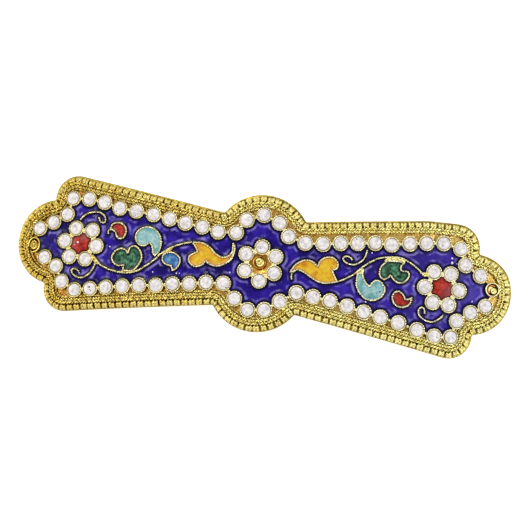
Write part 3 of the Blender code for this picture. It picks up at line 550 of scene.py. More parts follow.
def plan_of(loops, keep, spacing, clearance, lines=()):
    """Points and triangles over the part of the plan that keep() takes, cut along loops and lines."""
    corners = np.array([p for loop in loops for p in loop])
    low, high = corners.min(0), corners.max(0)
    rows = np.arange(low[1], high[1], spacing * math.sqrt(3) / 2)
    grid = np.array([(u + (k % 2) * spacing / 2, v) for k, v in enumerate(rows)
                     for u in np.arange(low[0], high[0], spacing)])
    grid = grid[keep(grid)]
    paths = [(loop, True) for loop in loops] + [(line, False) for line in lines]
    if len(grid):
        walls = [p for path, closed in paths for p in samples_along(path, closed, spacing / 4)]
        grid = grid[distances_to(walls)(grid) > clearance]
    spots, edges = polylines(paths)
    spots += [Vector(p) for p in grid]
    plan, _, faces, *_ = delaunay_2d_cdt(spots, edges, [], 0, 1e-4)
    plan = np.array([tuple(p) for p in plan])
    faces = np.array([f for f in faces if len(f) == 3])
    a, b, c = plan[faces[:, 0]], plan[faces[:, 1]], plan[faces[:, 2]]
    area = (b[:, 0] - a[:, 0]) * (c[:, 1] - a[:, 1]) - (b[:, 1] - a[:, 1]) * (c[:, 0] - a[:, 0])
    faces[area < 0] = faces[area < 0][:, ::-1]
    faces = faces[(np.abs(area) > 1e-7) & keep((a + b + c) / 3)]
    used, faces = np.unique(faces, return_inverse=True)
    return plan[used], faces.reshape(-1, 3)


def slab(name, plan, faces, top, wall_distance=None):
    """A closed body over a plan of triangles, from the inlay's floor up to the heights in top."""
    count = len(plan)
    upper = np.column_stack((plan, top))
    lower = np.column_stack((plan, np.full(count, INLAY_FLOOR)))
    directed = {(a, b) for face in faces.tolist() for a, b in zip(face, face[1:] + face[:1])}
    sides = [(b, a, a + count, b + count) for a, b in directed if (b, a) not in directed]
    body = faces.tolist() + (faces[:, ::-1] + count).tolist() + sorted(sides)
    mesh = new_mesh(name, np.vstack((upper, lower)), body)
    if wall_distance is not None:
        set_values(mesh, "wall_distance", np.concatenate((wall_distance, np.zeros(count))))
    return mesh


def rimmed_body(name, edge_points, profile, holes, grid):
    """A flat closed body whose edge follows a profile of distance in and height, with round holes.

    The point attribute "rim" is 1 on its edge and 0 inside it.
    """
    loops = [inset(edge_points, distance) for distance, _ in profile]
    count = len(edge_points)
    points, faces = [], []
    for loop, (_, height) in zip(loops, profile):
        points += [(*p, height) for p in loop]
    for k in range(len(profile) - 1):
        low, high = k * count, (k + 1) * count
        faces += [(low + i, low + (i + 1) % count, high + (i + 1) % count, high + i) for i in range(count)]
    rims = [1.0] * len(points)
    for loop, height, turn in ((loops[0], profile[0][1], -1), (loops[-1], profile[-1][1], 1)):
        plan, cap = plan_of([loop, *holes], between(loop, holes), grid, grid / 3)
        start = len(points)
        points += [(*p, height) for p in plan]
        rims += (distances_to(loop)(plan) < 0.01).astype(float).tolist()
        faces += (cap[:, ::turn] + start).tolist()
    for hole in holes:
        start, sides = len(points), len(hole)
        points += [(*p, height) for height in (profile[0][1], profile[-1][1]) for p in hole]
        faces += [(start + (i + 1) % sides, start + i, start + sides + i, start + sides + (i + 1) % sides)
                  for i in range(sides)]
    mesh = set_values(new_mesh(name, points, faces), "rim", rims + [0.0] * (len(points) - len(rims)))
    bm = bmesh.new()
    bm.from_mesh(mesh)
    bmesh.ops.remove_doubles(bm, verts=bm.verts, dist=0.001)
    bm.to_mesh(mesh)
    bm.free()
    return mesh


# Node helpers


def linear(colour):
    """The linear channels of an sRGB hex colour, with alpha."""
    channels = [int(colour[i:i + 2], 16) / 255 for i in (1, 3, 5)]
    return (*(c / 12.92 if c <= 0.04045 else ((c + 0.055) / 1.055) ** 2.4 for c in channels), 1.0)


def add_node(tree, kind, inputs=None, **settings):
    """Adds a node with its settings; each input gets a value, an sRGB hex colour or a link.

    A link comes from the socket that is given, or from the live output of the node that is given.
    """
    node = tree.nodes.new(kind)
    for name, value in settings.items():
        setattr(node, name, value)
    for key, value in (inputs or {}).items():
        if isinstance(value, bpy.types.Node):
            value = next(output for output in value.outputs if output.enabled)
        if isinstance(value, bpy.types.NodeSocket):
            tree.links.new(value, node.inputs[key])
        else:
            node.inputs[key].default_value = linear(value) if isinstance(value, str) else value
    return node


# The kinds of node used most
MATHS = "ShaderNodeMath"
VECTORS = "ShaderNodeVectorMath"
RANGE = "ShaderNodeMapRange"
NOISE = "ShaderNodeTexNoise"
RANDOM = "FunctionNodeRandomValue"


def per_mm(size):
    """The scale of a texture on metres whose grain is this many millimetres."""
    return 1 / (size * MM)


# Geometry trees


def geometry_tree(name, inputs):
    """An empty tree with its named inputs, and its input node's sockets."""
    tree = bpy.data.node_groups.new(name, "GeometryNodeTree")
    tree.interface.new_socket("Geometry", in_out="INPUT", socket_type="NodeSocketGeometry")
    for label, kind in inputs.items():
        tree.interface.new_socket(label, in_out="INPUT", socket_type="NodeSocket" + kind)
    tree.interface.new_socket("Geometry", in_out="OUTPUT", socket_type="NodeSocketGeometry")
    return tree, add_node(tree, "NodeGroupInput").outputs


def close_tree(tree, geometry, material):
    """Ends a tree in Realize Instances and Set Material."""
    realized = add_node(tree, "GeometryNodeRealizeInstances", {0: geometry})
    painted = add_node(tree, "GeometryNodeSetMaterial", {"Geometry": realized, "Material": material})
    add_node(tree, "NodeGroupOutput", {0: painted})
    return tree


def twisted_wire_tree():
    """Wires twisted round each path: each strand is a tube along a helix, and closed paths meet."""
    tree, given = geometry_tree("twisted_wire", {
        "Wire Radius": "Float", "Orbit": "Float", "Pitch": "Float", "Hand": "Float", "Strands": "Int",
        "Steps": "Float", "Sides": "Int", "Material": "Material",
    })
    paths = add_node(tree, "GeometryNodeMeshToCurve", {"Mesh": given["Geometry"]})
    step = add_node(tree, MATHS, {0: given["Pitch"], 1: given["Steps"]}, operation="DIVIDE")
    fine = add_node(tree, "GeometryNodeResampleCurve", {"Curve": paths, "Length": step}, mode="LENGTH")
    strands = add_node(tree, "GeometryNodeDuplicateElements",
                       {"Geometry": fine, "Amount": given["Strands"]}, domain="SPLINE")
    share = add_node(tree, MATHS, {0: strands.outputs["Duplicate Index"], 1: given["Strands"]},
                     operation="DIVIDE")
    length = add_node(tree, "GeometryNodeSplineLength")
    pitches = add_node(tree, MATHS, {0: length, 1: given["Pitch"]}, operation="DIVIDE")
    turns = add_node(tree, MATHS, {0: pitches}, operation="ROUND")
    along = add_node(tree, "GeometryNodeSplineParameter")
    turned_by = add_node(tree, MATHS, {0: turns, 1: along}, operation="MULTIPLY")
    turned_by = add_node(tree, MATHS, {0: turned_by, 1: given["Hand"]}, operation="MULTIPLY")
    turned_by = add_node(tree, MATHS, {0: turned_by, 1: share}, operation="ADD")
    angle = add_node(tree, MATHS, {0: turned_by, 1: math.tau}, operation="MULTIPLY")
    cosine = add_node(tree, MATHS, {0: angle}, operation="COSINE")
    sine = add_node(tree, MATHS, {0: angle}, operation="SINE")
    sideways = add_node(tree, MATHS, {0: cosine, 1: given["Orbit"]}, operation="MULTIPLY")
    upwards = add_node(tree, MATHS, {0: sine, 1: given["Orbit"]}, operation="MULTIPLY")
    tangent = add_node(tree, "GeometryNodeInputTangent")
    side = add_node(tree, VECTORS, {0: tangent, 1: (0, 0, 1)}, operation="CROSS_PRODUCT")
    side = add_node(tree, VECTORS, {0: side}, operation="NORMALIZE")
    side = add_node(tree, VECTORS, {0: side, "Scale": sideways}, operation="SCALE")
    rise = add_node(tree, "ShaderNodeCombineXYZ", {"Z": upwards})
    offset = add_node(tree, VECTORS, {0: side, 1: rise}, operation="ADD")
    helix = add_node(tree, "GeometryNodeSetPosition", {"Geometry": strands, "Offset": offset})
    section = add_node(tree, "GeometryNodeCurvePrimitiveCircle",
                       {"Resolution": given["Sides"], "Radius": given["Wire Radius"]})
    tube = add_node(tree, "GeometryNodeCurveToMesh",
                    {"Curve": helix, "Profile Curve": section, "Fill Caps": True})
    return close_tree(tree, tube, given["Material"])


def close_with_copies(tree, given, points, rotation):
    """Ends a tree in a copy of its body on each point, each sized a little differently."""
    smallest = add_node(tree, MATHS, {0: 1.0, 1: given["Size Spread"]}, operation="SUBTRACT")
    sizes = add_node(tree, RANDOM, {2: smallest, 3: 1.0, "Seed": given["Seed"]})
    body = add_node(tree, "GeometryNodeObjectInfo", {"Object": given["Body"]}).outputs["Geometry"]
    copies = add_node(tree, "GeometryNodeInstanceOnPoints",
                      {"Points": points, "Instance": body, "Rotation": rotation, "Scale": sizes})
    return close_tree(tree, copies, given["Material"])


def bead_row_tree():
    """Copies of one bead along each path, evenly spaced, each turned and sized a little differently."""
    tree, given = geometry_tree("bead_row", {
        "Body": "Object", "Pitch": "Float", "Size Spread": "Float", "Seed": "Int", "Material": "Material",
    })
    paths = add_node(tree, "GeometryNodeMeshToCurve", {"Mesh": given["Geometry"]})
    length = add_node(tree, "GeometryNodeSplineLength")
    count = add_node(tree, MATHS, {0: length, 1: given["Pitch"]}, operation="DIVIDE")
    count = add_node(tree, MATHS, {0: count}, operation="ROUND")
    # A trace more than the whole count, so that rounding never drops the last bead
    count = add_node(tree, MATHS, {0: count, 1: 0.001}, operation="ADD")
    step = add_node(tree, MATHS, {0: length, 1: count}, operation="DIVIDE")
    places = add_node(tree, "GeometryNodeResampleCurve", {"Curve": paths, "Length": step}, mode="LENGTH")
    tangent = add_node(tree, "GeometryNodeInputTangent")
    along = add_node(tree, "FunctionNodeAxesToRotation",
                     {"Primary Axis": (0, 0, 1), "Secondary Axis": tangent}, primary_axis="Z",
                     secondary_axis="X")
    spin = add_node(tree, RANDOM, {"Max": (math.tau, 0.0, 0.0), "Seed": given["Seed"]},
                    data_type="FLOAT_VECTOR")
    rotation = add_node(tree, "FunctionNodeRotateRotation", {"Rotation": along, "Rotate By": spin},
                        rotation_space="LOCAL")
    return close_with_copies(tree, given, places, rotation)


def strewn_tree():
    """One small body at each point, turned at random and sized a little differently."""
    tree, given = geometry_tree("strewn", {
        "Body": "Object", "Size Spread": "Float", "Tilt": "Float", "Seed": "Int", "Material": "Material",
    })
    tilt = given["Tilt"]
    back = add_node(tree, MATHS, {0: tilt, 1: -1.0}, operation="MULTIPLY")
    low = add_node(tree, "ShaderNodeCombineXYZ", {"X": back, "Y": back})
    high = add_node(tree, "ShaderNodeCombineXYZ", {"X": tilt, "Y": tilt, "Z": math.tau})
    turns = add_node(tree, RANDOM, {"Min": low, "Max": high, "Seed": given["Seed"]},
                     data_type="FLOAT_VECTOR")
    return close_with_copies(tree, given, given["Geometry"], turns)


def helper_object(name, mesh):
    obj = bpy.data.objects.new(name, mesh)
    bpy.context.scene.collection.objects.link(obj)
    return obj


def grown(paths, tree, name, **values):
    """The mesh that a tree makes from paths in u, v and h, each given with whether it is closed."""
    points, edges = polylines(paths)
    mesh = bpy.data.meshes.new("paths")
    mesh.from_pydata([tuple(p) for p in points], edges, [])
    obj = helper_object("paths", mesh)
    modifier = obj.modifiers.new("made", "NODES")
    modifier.node_group = tree
    for item in tree.interface.items_tree:
        label = item.name.lower().replace(" ", "_")
        if item.in_out == "INPUT" and label in values:
            modifier[item.identifier] = values[label]
    obj.update_tag()
    evaluated = obj.evaluated_get(bpy.context.evaluated_depsgraph_get())
    mesh = bpy.data.meshes.new_from_object(evaluated)
    mesh.name = name
    obj.modifiers.remove(modifier)
    bpy.data.objects.remove(obj)
    return mesh


def copied(body, paths, tree, name, **values):
    """The mesh of a tree that sets copies of one small body along paths or at points."""
    helper = helper_object("body", body)
    mesh = grown(paths, tree, name, body=helper, **values)
    bpy.data.objects.remove(helper)
    return mesh


def twisted(name, paths, radius, orbit, pitch, material, hand=1.0, steps=9.0, sides=6):
    """A mesh of twisted wire of two strands along the paths."""
    return grown(paths, TWISTED_WIRE, name, wire_radius=radius, orbit=orbit, pitch=pitch, hand=hand,
                 strands=2, steps=steps, sides=sides, material=material)


def lifted(path, height):
    return [(p[0], p[1], height) for p in path]


# Materials


def new_material(name):
    material = bpy.data.materials.new(name)
    material.use_nodes = True
    return material, material.node_tree


def place_in(tree):
    """The shaded place in metres, and how far along the clip it is."""
    place = add_node(tree, "ShaderNodeTexCoord").outputs["Object"]
    return place, add_node(tree, "ShaderNodeSeparateXYZ", {0: place}).outputs["X"]


def cloudy(tree, place, size, low, high):
    """A share from 0 to 1 in clouds that are this many millimetres across."""
    clouds = add_node(tree, NOISE, {"Vector": place, "Scale": per_mm(size), "Detail": 3.0, "Roughness": 0.55})
    return add_node(tree, RANGE, {"Value": clouds, "From Min": low, "From Max": high})


def coated_with(tree, colour, layers, height, dent, **values):
    """The surface shader: a colour with tints laid over it by their shares, dents and even values."""
    for share, tint in layers:
        colour = add_node(tree, "ShaderNodeMix", {0: share, 6: colour, 7: tint}, data_type="RGBA")
    bump = add_node(tree, "ShaderNodeBump", {"Height": height, "Strength": 1.0, "Distance": dent * MM})
    shader = tree.nodes["Principled BSDF"]
    tree.links.new(colour.outputs[2], shader.inputs["Base Color"])
    tree.links.new(bump.outputs[0], shader.inputs["Normal"])
    for name, value in values.items():
        shader.inputs[name.replace("_", " ").title().replace("Ior", "IOR")].default_value = value
    return shader


# Painted light: the gold is warmer at the left end of the clip and paler towards the right: from where, to
# where, and how much is taken off or added
PAINTED_SIDE_LIGHT = {"From Min": -44 * MM, "From Max": 30 * MM, "To Min": -0.30, "To Max": 0.30}


def gilt(name, bright, warm, shade_and_patina, roughness, grain, dent, shade_reach, rim=None):
    """Fire-gilt metal in warm and cool patches, warmer to the left by painted light, and browned by painted
    shade where other wires shade it, which in part stands for real patina in those hollows.

    grain is the size of its marks, dent their depth and shade_reach how far a wire shades, all in
    millimetres; rim is the colour where the point attribute "rim" is 1.
    """
    material, tree = new_material(name)
    place, along = place_in(tree)
    patches = add_node(tree, NOISE, {"Vector": place, "Scale": per_mm(2.5 * grain), "Detail": 2.0})
    # Painted light along the clip: warmer to the left, paler to the right
    side_light = add_node(tree, RANGE, {"Value": along, **PAINTED_SIDE_LIGHT})
    # Painted shade: ambient occlusion darkens the gold in recesses and beside other wires, in part standing
    # for real patina there
    shade = add_node(tree, "ShaderNodeAmbientOcclusion", {"Distance": shade_reach * MM}, samples=6)
    layers = [
        (add_node(tree, MATHS, {0: patches, 1: side_light}, use_clamp=True), bright),
        (add_node(tree, RANGE, {"Value": shade.outputs["AO"], "From Min": 0.60, "From Max": 0.10}), shade_and_patina),
    ]
    if rim:
        layers.append((add_node(tree, "ShaderNodeAttribute", attribute_name="rim").outputs["Fac"], rim))
    marks = add_node(tree, NOISE, {"Vector": place, "Scale": per_mm(grain), "Detail": 1.0})
    shader = coated_with(tree, warm, layers, marks, dent, metallic=1.0)
    gloss = add_node(tree, RANGE, {"Value": marks, "From Min": 0.3, "From Max": 0.7,
                                   "To Min": roughness * 0.7, "To Max": roughness * 1.3})
    tree.links.new(gloss.outputs[0], shader.inputs["Roughness"])
    return material


# The painted highlight on the blue, a lighter band along the wires: where it begins and ends, counted from a
# wire in millimetres
PAINTED_HIGHLIGHT_BEGINS = {"From Min": 0.40, "From Max": 0.58}
PAINTED_HIGHLIGHT_ENDS = {"From Min": 1.06, "From Max": 0.66}
# The patches it breaks up in, and its strength from the left to the right
PAINTED_HIGHLIGHT_PATCHES = (1.9, 0.46, 0.64)
PAINTED_HIGHLIGHT_STRENGTH = {"From Min": -30 * MM, "From Max": 35 * MM, "To Min": 0.76, "To Max": 0.56}
SPECK_COLOUR = "#5e5c5c"


def painted_highlight_share(tree, place, along, distance):
    """Where the painted highlight band lies, broken up in patches."""
    share = cloudy(tree, place, *PAINTED_HIGHLIGHT_PATCHES)
    parts = (
        (distance, PAINTED_HIGHLIGHT_BEGINS, "SMOOTHSTEP"), (distance, PAINTED_HIGHLIGHT_ENDS, "SMOOTHSTEP"),
        (along, PAINTED_HIGHLIGHT_STRENGTH, "LINEAR"),
    )
    for value, limits, kind in parts:
        part = add_node(tree, RANGE, {"Value": value, **limits}, interpolation_type=kind)
        share = add_node(tree, MATHS, {0: share, 1: part}, operation="MULTIPLY")
    return share


def speck_share(tree, place, specks):
    """Where pin holes are: in this share of the cells, and only near a cell's middle."""
    cells = add_node(tree, "ShaderNodeTexVoronoi", {"Vector": place, "Scale": per_mm(0.9)})
    pin = add_node(tree, RANGE, {"Value": cells.outputs["Distance"], "From Min": 0.16, "From Max": 0.10})
    chance = add_node(tree, "ShaderNodeSeparateColor", {0: cells.outputs["Color"]})
    chosen = add_node(tree, MATHS, {0: chance, 1: specks}, operation="LESS_THAN")
    return add_node(tree, MATHS, {0: pin, 1: chosen}, operation="MINIMUM")


def enamel(name, line, wall_shade, body, light, cloud, line_width, edge_width, roughness, dim=None, painted_highlight=None,
           specks=0.0, ends=(), mirror=0.5):
    """Fired glass enamel: cloudy in its colour, and darker towards the wires by painted shade.

    line is the thin dark line of painted shade beside a wire, wall_shade the painted shade next to it; dim is
    a darker tone in wide patches, painted_highlight a painted highlight band that runs along the wires,
    specks the share of pin holes, and ends the washes of colour towards the tips: colour, where each starts
    and is full, and its most. mirror is how strongly the glaze reflects.
    """
    material, tree = new_material(name)
    place, along = place_in(tree)
    distance = add_node(tree, "ShaderNodeAttribute", attribute_name="wall_distance").outputs["Fac"]
    layers = [(cloudy(tree, place, cloud, 0.35, 0.68), light)]
    if dim:
        layers.append((cloudy(tree, place, cloud * 2.3, 0.48, 0.70), dim))
    for tint, start, full, most in ends:
        limits = {"Value": along, "From Min": start * MM, "From Max": full * MM, "To Max": most}
        layers.append((add_node(tree, RANGE, limits), tint))
    # Painted highlight: a lighter band along the wires
    if painted_highlight:
        layers.append((painted_highlight_share(tree, place, along, distance), painted_highlight))
    # Painted shade: darker towards every wall
    for tint, inner, outer, kind in ((wall_shade, line_width, edge_width, "SMOOTHSTEP"),
                                     (line, line_width * 0.5, line_width * 1.3, "LINEAR")):
        limits = {"Value": distance, "From Min": outer, "From Max": inner}
        layers.append((add_node(tree, RANGE, limits, interpolation_type=kind), tint))
    if specks:
        layers.append((speck_share(tree, place, specks), SPECK_COLOUR))
    peel = add_node(tree, NOISE, {"Vector": place, "Scale": per_mm(0.6), "Detail": 2.0})
    coated_with(tree, body, layers, peel, 0.012, roughness=roughness, ior=1.5, specular_ior_level=mirror)
    return material


# Fine drawn wire, twisted, and grains of solder, gilded and brushed: bright turns, olive in the recesses by
# painted shade and some patina
BEAD_GILT = gilt("gilt_silver_bead_wire", "#fff6a4", "#dcb846", "#5a4814", 0.20, 0.9, 0.05, 0.42)
# Milled bead wire, gilded after soldering and polished on top: dull olive, and darker low on its flanks,
# which is painted shade
EDGE_GILT = gilt("gilt_silver_bead_flanks", "#fff6a4", "#dcb846", "#42320c", 0.20, 0.9, 0.05, 0.5,
                 rim="#463808")
# Thin round wire ground level with the enamel: pale and bright
WIRE_GILT = gilt("gilt_silver_ground_wire", "#fffad6", "#f8eaa8", "#463a16", 0.24, 0.4, 0.01, 0.14)
# Fine ring wire, twisted: yellow gold with olive shade between its turns
RING_GILT = gilt("gilt_silver_ring_wire", "#fffad0", "#f2de90", "#4a3e16", 0.24, 0.3, 0.01, 0.16)
# Plain strip bent into a cup round each white bead: dark olive gold, painted shade for the gap between ring
# and bead
CUP_GILT = gilt("gilt_silver_cup_strip", "#a08c4a", "#6e5c26", "#2a200a", 0.30, 0.3, 0.02, 0.2)
# Rolled sheet under the wires: warm orange gold with a satin skin, greener on its cut edge
SHEET_GILT = gilt("gilt_silver_sheet", "#ffd878", "#f4aa4c", "#5a2a08", 0.28, 0.9, 0.16, 0.6, rim="#a08c38")
# The sheet in the middle flower, darker brown towards its upper left by painted shade
HALF_SHADED_GILT = gilt("heat_stained_gilt_sheet", "#f8c860", "#dc9834", "#5a2a08", 0.28, 0.7, 0.03, 0.4,
                    rim="#a8721e")
# Spring steel with a thin wash of gold, brushed lengthwise
CLASP_GILT = gilt("gilt_spring_steel", "#dcc58a", "#c9ab66", "#6d5a30", 0.38, 1.2, 0.006, 0.8)
# Heavy round wire bent into bands at the middle and right rivets, hammered: orange gold, brown at its foot
# by painted shade
DOME_GILT = gilt("hammered_gilt_silver", "#eab060", "#c07c34", "#3a1804", 0.26, 0.8, 0.02, 0.5)
# The bottoms of the rivet pits: dark brown gilding
PIT_GILT = gilt("browned_gilt_silver", "#8c4c1c", "#54280a", "#160800", 0.35, 0.5, 0.03, 0.9)

# Ultramarine glass ground, fired hollow between its wires: nearly black beside them by painted shade, and
# lighter in a band further out by painted highlight
BLUE_ENAMEL = enamel("ultramarine_enamel", "#020108", "#08042e", "#180668", "#3620a6", 1.8, 0.24, 0.84, 0.12,
                     dim="#0e0648", painted_highlight="#b0a2f8", mirror=0.20,
                     ends=(("#16123c", -34, -42, 0.8), ("#4634a0", 6, 30, 0.42), ("#4a36a8", 34, 41, 0.7)))
# White glass beads melted in their rings: warm white with faint grey clouds and pin holes; ivory and olive
# painted shade at the edge
WHITE_ENAMEL = enamel("white_enamel", "#a89c74", "#d8cdb0", "#faf5f3", "#c8c3c3", 0.55, 0.02, 0.28, 0.16,
                      specks=0.40)
# Soot caught in burst bubbles of the enamel: blue black, glazed over
SOOT = enamel("sooty_enamel", "#101418", "#141a20", "#222c34", "#343c44", 0.4, 0.02, 0.10, 0.30)
LEAF_ENAMELS = {
    # Glossy opaque yellow glass, mottled orange where it was fired hotter
    "yellow": enamel("yellow_enamel", "#6e3c06", "#c47c10", "#daab12", "#eec638", 0.6, 0.18, 0.42, 0.20,
                     dim="#c67a0c"),
    # Half clear green glass: dark at the wires by painted shade, paler where the foil shines through
    "green": enamel("green_enamel", "#03120a", "#062416", "#0a3020", "#64a47c", 0.6, 0.24, 0.66, 0.14,
                    dim="#062014", mirror=0.35),
    # Milky turquoise glass with deeper streaks
    "turquoise": enamel("turquoise_enamel", "#245a62", "#64a6a8", "#78b0b6", "#b2d0cc", 0.6, 0.18, 0.38, 0.18,
                        dim="#4a9694", specks=0.10),
    # Clear sky blue glass over bright metal
    "pale_blue": enamel("sky_blue_enamel", "#081c44", "#133f80", "#2062a0", "#80b6da", 0.7, 0.20, 0.54, 0.14,
                        dim="#154a90", mirror=0.35),
    # Brick red glass, brighter in the middle and nearly black at the wires, both by painted shade
    "red": enamel("red_enamel", "#280403", "#560c08", "#98160e", "#c84434", 0.6, 0.22, 0.58, 0.14,
                  dim="#7a120c", mirror=0.35),
}

TWISTED_WIRE = twisted_wire_tree()
BEAD_ROW = bead_row_tree()
STREWN = strewn_tree()


def piece(name, mesh, nodes, material=None, smooth=40):
    """A finished piece: shaded, riding on the clip and standing for its CAD nodes."""
    if material is not None:
        mesh.materials.clear()
        mesh.materials.append(material)
    mesh.shade_smooth()
    mesh.set_sharp_from_angle(angle=math.radians(smooth))
    obj = bpy.data.objects.new(name, mesh)
    bpy.context.scene.collection.objects.link(obj)
    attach(obj, "root")
    if nodes:
        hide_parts(*nodes)
    return obj


# The border


def make_sheet(outline):
    """The gilt sheet with its softened edge and its rivet holes."""
    holes = [circle(place, RIVET_HOLE, 16) for place in RIVETS.values()]
    mesh = bend(rimmed_body("gilt_sheet", outline, SHEET_EDGE, holes, SHEET_GRID))
    piece("gilt_sheet", mesh, ["filigree_plate"], SHEET_GILT, smooth=30)


def bead_mesh():
    """One barrel of the milled wire along X: two ridges with a dip between, and a neck at each end."""
    end = BEAD_PITCH / 2 + 0.02
    half = [(radius, place) for place, radius in BEAD_PROFILE] + [(BEAD_PROFILE[-1][1], end), (0.0, end)]
    points, faces = turned([(radius, -place) for radius, place in half[:0:-1]] + half, BEAD_SIDES)
    return new_mesh("bead", points[:, [2, 0, 1]], faces)


def make_bead_wire(outline):
    """The heavy bead wire along the edge, dented, with painted shade low on its flanks."""
    path = lifted(rim_inset(outline, BEAD_INSET, BEAD_SHIFT), BEAD_CENTRE_HEIGHT)
    mesh = copied(bead_mesh(), [(path, True)], BEAD_ROW, "bead_wire", pitch=BEAD_PITCH,
                  size_spread=BEAD_SIZE_SPREAD, seed=4, material=EDGE_GILT)
    for depth, grain, seed in BEAD_DENTS:
        mesh = roughened(mesh, depth, grain, seed)
    # Painted shade: the lower a point lies on a bead, the darker its colour
    low = np.clip((FLANK_SHADE_TOP - coordinates(mesh)[:, 2]) / FLANK_SHADE_FADE, 0, 1)
    set_values(mesh, "rim", FLANK_SHADE_SHARE * low)
    piece("bead_wire", bend(mesh), ["filigree_plate"], smooth=60)


def make_plait(outline):
    """Two fine twisted wires of opposite hand side by side, which look like a plait, and the lace wire."""
    meshes = []
    for distance, hand in PLAIT_INSETS:
        path = lifted(rim_inset(outline, distance, PLAIT_SHIFT), PLAIT_HEIGHT)
        meshes.append(twisted("plait", [(path, True)], PLAIT_WIRE, PLAIT_ORBIT, PLAIT_PITCH, BEAD_GILT, hand))
    lace = rim_inset(outline, LACE_INSET, PLAIT_SHIFT)
    first = next(i for i, p in enumerate(lace) if p.x < 0)
    last = next(i for i, p in enumerate(lace) if i > first and p.x > LACE_END[0] and p.y > LACE_END[1])
    route = lifted(lace[first:last], LACE_HEIGHT)
    meshes.append(twisted("lace", [(route, False)], LACE_WIRE, LACE_ORBIT, LACE_PITCH, BEAD_GILT))
    mesh = bend(roughened(joined("plaited_wire", meshes), 0.035, 0.35, 7.0))
    piece("plaited_wire", mesh, ["filigree_plate"], BEAD_GILT, smooth=45)


def make_grains(outline, upper, lower):
    """Grains of melted solder strewn over the sheet beside the dots."""
    u, v = np.meshgrid(np.arange(-44, 44, GRAIN_SPACING), np.arange(-12, 12, GRAIN_SPACING))
    shift = np.random.default_rng(11).uniform(-0.45, 0.45, (u.size, 2)) * GRAIN_SPACING
    spots = np.column_stack((u.ravel(), v.ravel())) + shift
    spots = spots[between(inset(outline, GRAIN_INSET), [upper + lower[::-1]])(spots)]
    spots = spots[distances_to(upper + lower)(spots) > RING_CENTRE_RADIUS - 0.1]
    grain = turned_mesh("grain", GRAIN_PROFILE, 8, scale=[GRAIN_RADIUS] * 3)
    mesh = copied(grain, [([(*spot, 0.0)], False) for spot in spots], STREWN, "solder_grains",
                  size_spread=0.5, tilt=0.5, seed=9, material=BEAD_GILT)
    mesh = bend(roughened(mesh, 0.06, 0.2, 2.0))
    piece("solder_grains", mesh, ["filigree_plate"], smooth=50)


# Dots, petals and their rings


def dot_mesh():
    """A cabochon of enamel in its ring, with the distance from its edge for the painted shade there."""
    steps = 7
    profile = [(0.0, INLAY_FLOOR), (DOT_RADIUS, INLAY_FLOOR), (DOT_RADIUS, DOT_EDGE_HEIGHT - 0.06)]
    for i in range(1, steps):
        turn = math.pi / 2 * i / steps
        profile.append((DOT_RADIUS * math.cos(turn) ** 0.85, DOT_EDGE_HEIGHT + DOT_RISE * math.sin(turn)))
    profile.append((0.0, DOT_EDGE_HEIGHT + DOT_RISE))
    points, faces = turned(profile, DOT_SIDES)
    reach = DOT_RADIUS - np.hypot(points[:, 0], points[:, 1])
    return set_values(new_mesh("dot", points, faces), "wall_distance",
                      np.where(points[:, 2] > INLAY_FLOOR, reach, 0.0))


def make_dots(name, centres, nodes, seed):
    """White cabochons at the centres."""
    mesh = copied(dot_mesh(), [(lifted([c], 0.0), False) for c in centres], STREWN, name,
                  size_spread=0.05, tilt=0.04, seed=seed, material=WHITE_ENAMEL)
    piece(name, bend(mesh), nodes)


def make_rings(name, centres, nodes):
    """A ring of fine twisted wire round each centre, on a smooth cup wall, with solder between neighbours."""
    paths = [(lifted(ring(c), RING_HEIGHT), True) for c in centres]
    wires = twisted("rings", paths, RING_WIRE, RING_ORBIT, RING_PITCH, WIRE_GILT, steps=8.0, sides=5)
    walls = [turned_mesh("wall", CUP_PROFILE, RING_SAMPLES, c) for c in centres]
    drops = [ball("drop", (a + b) / 2, 0.30, 0.35, 0.91, DROP_TURNS, 10)
             for i, a in enumerate(centres) for b in centres[i + 1:] if (a - b).length < DROP_GAP]
    piece(name, bend(joined(name, [wires, *drops])), nodes, RING_GILT, smooth=60)
    piece(name + "_walls", bend(joined("walls", walls)), nodes, CUP_GILT, smooth=60)


# Enamel between the wires


def waves(points, size, seed):
    return np.array([noise.noise(Vector((x / size, y / size, seed))) for x, y in points])


def make_leaves(loops):
    """Each leaf's enamel, a little hollow between its walls."""
    for seed, (name, colour, _) in enumerate(LEAVES):
        plan, faces = plan_of([loops[name]], between(loops[name]), LEAF_GRID, LEAF_GRID * 0.45)
        distance = distances_to(samples_along(loops[name], True))(plan)
        top = LEAF_LOW + LEAF_RISE * np.exp(-distance / LEAF_CREEP) + LEAF_WAVE * waves(plan, 1.1, seed)
        mesh = bend(slab(name, plan, faces, top, distance))
        piece(name + "_enamel", mesh, [name], LEAF_ENAMELS[colour], smooth=60)


def make_leaf_wires(loops):
    """The twisted wire round every leaf, and the stems, scrolls and tails."""
    paths = [(lifted(loop, WIRE_CENTRE_HEIGHT), True) for loop in loops.values()]
    paths += [(lifted(smooth(route, False, 8), WIRE_CENTRE_HEIGHT), False) for route in STRANDS]
    mesh = twisted("leaf_wires", paths, WIRE_RADIUS, WIRE_ORBIT, WIRE_PITCH, WIRE_GILT, steps=8.0)
    piece("leaf_wires", bend(mesh), ["blue_field"], smooth=50)


def make_solder_fills():
    """Gold solder in the corners between stems and leaves."""
    meshes = []
    for seed, outline in enumerate(SOLDER_FILLS):
        loop = smooth(outline, True, 3)
        plan, faces = plan_of([loop], between(loop), 0.2, 0.09)
        distance = distances_to(samples_along(loop, True))(plan)
        top = 0.80 + 0.12 * np.minimum(1, distance / 0.2) + 0.05 * waves(plan, 0.4, seed)
        meshes.append(slab("fill", plan, faces, top))
    mesh = bend(roughened(joined("solder_fills", meshes), 0.12, 0.3, 5.0))
    piece("solder_fills", mesh, [], BEAD_GILT, smooth=60)


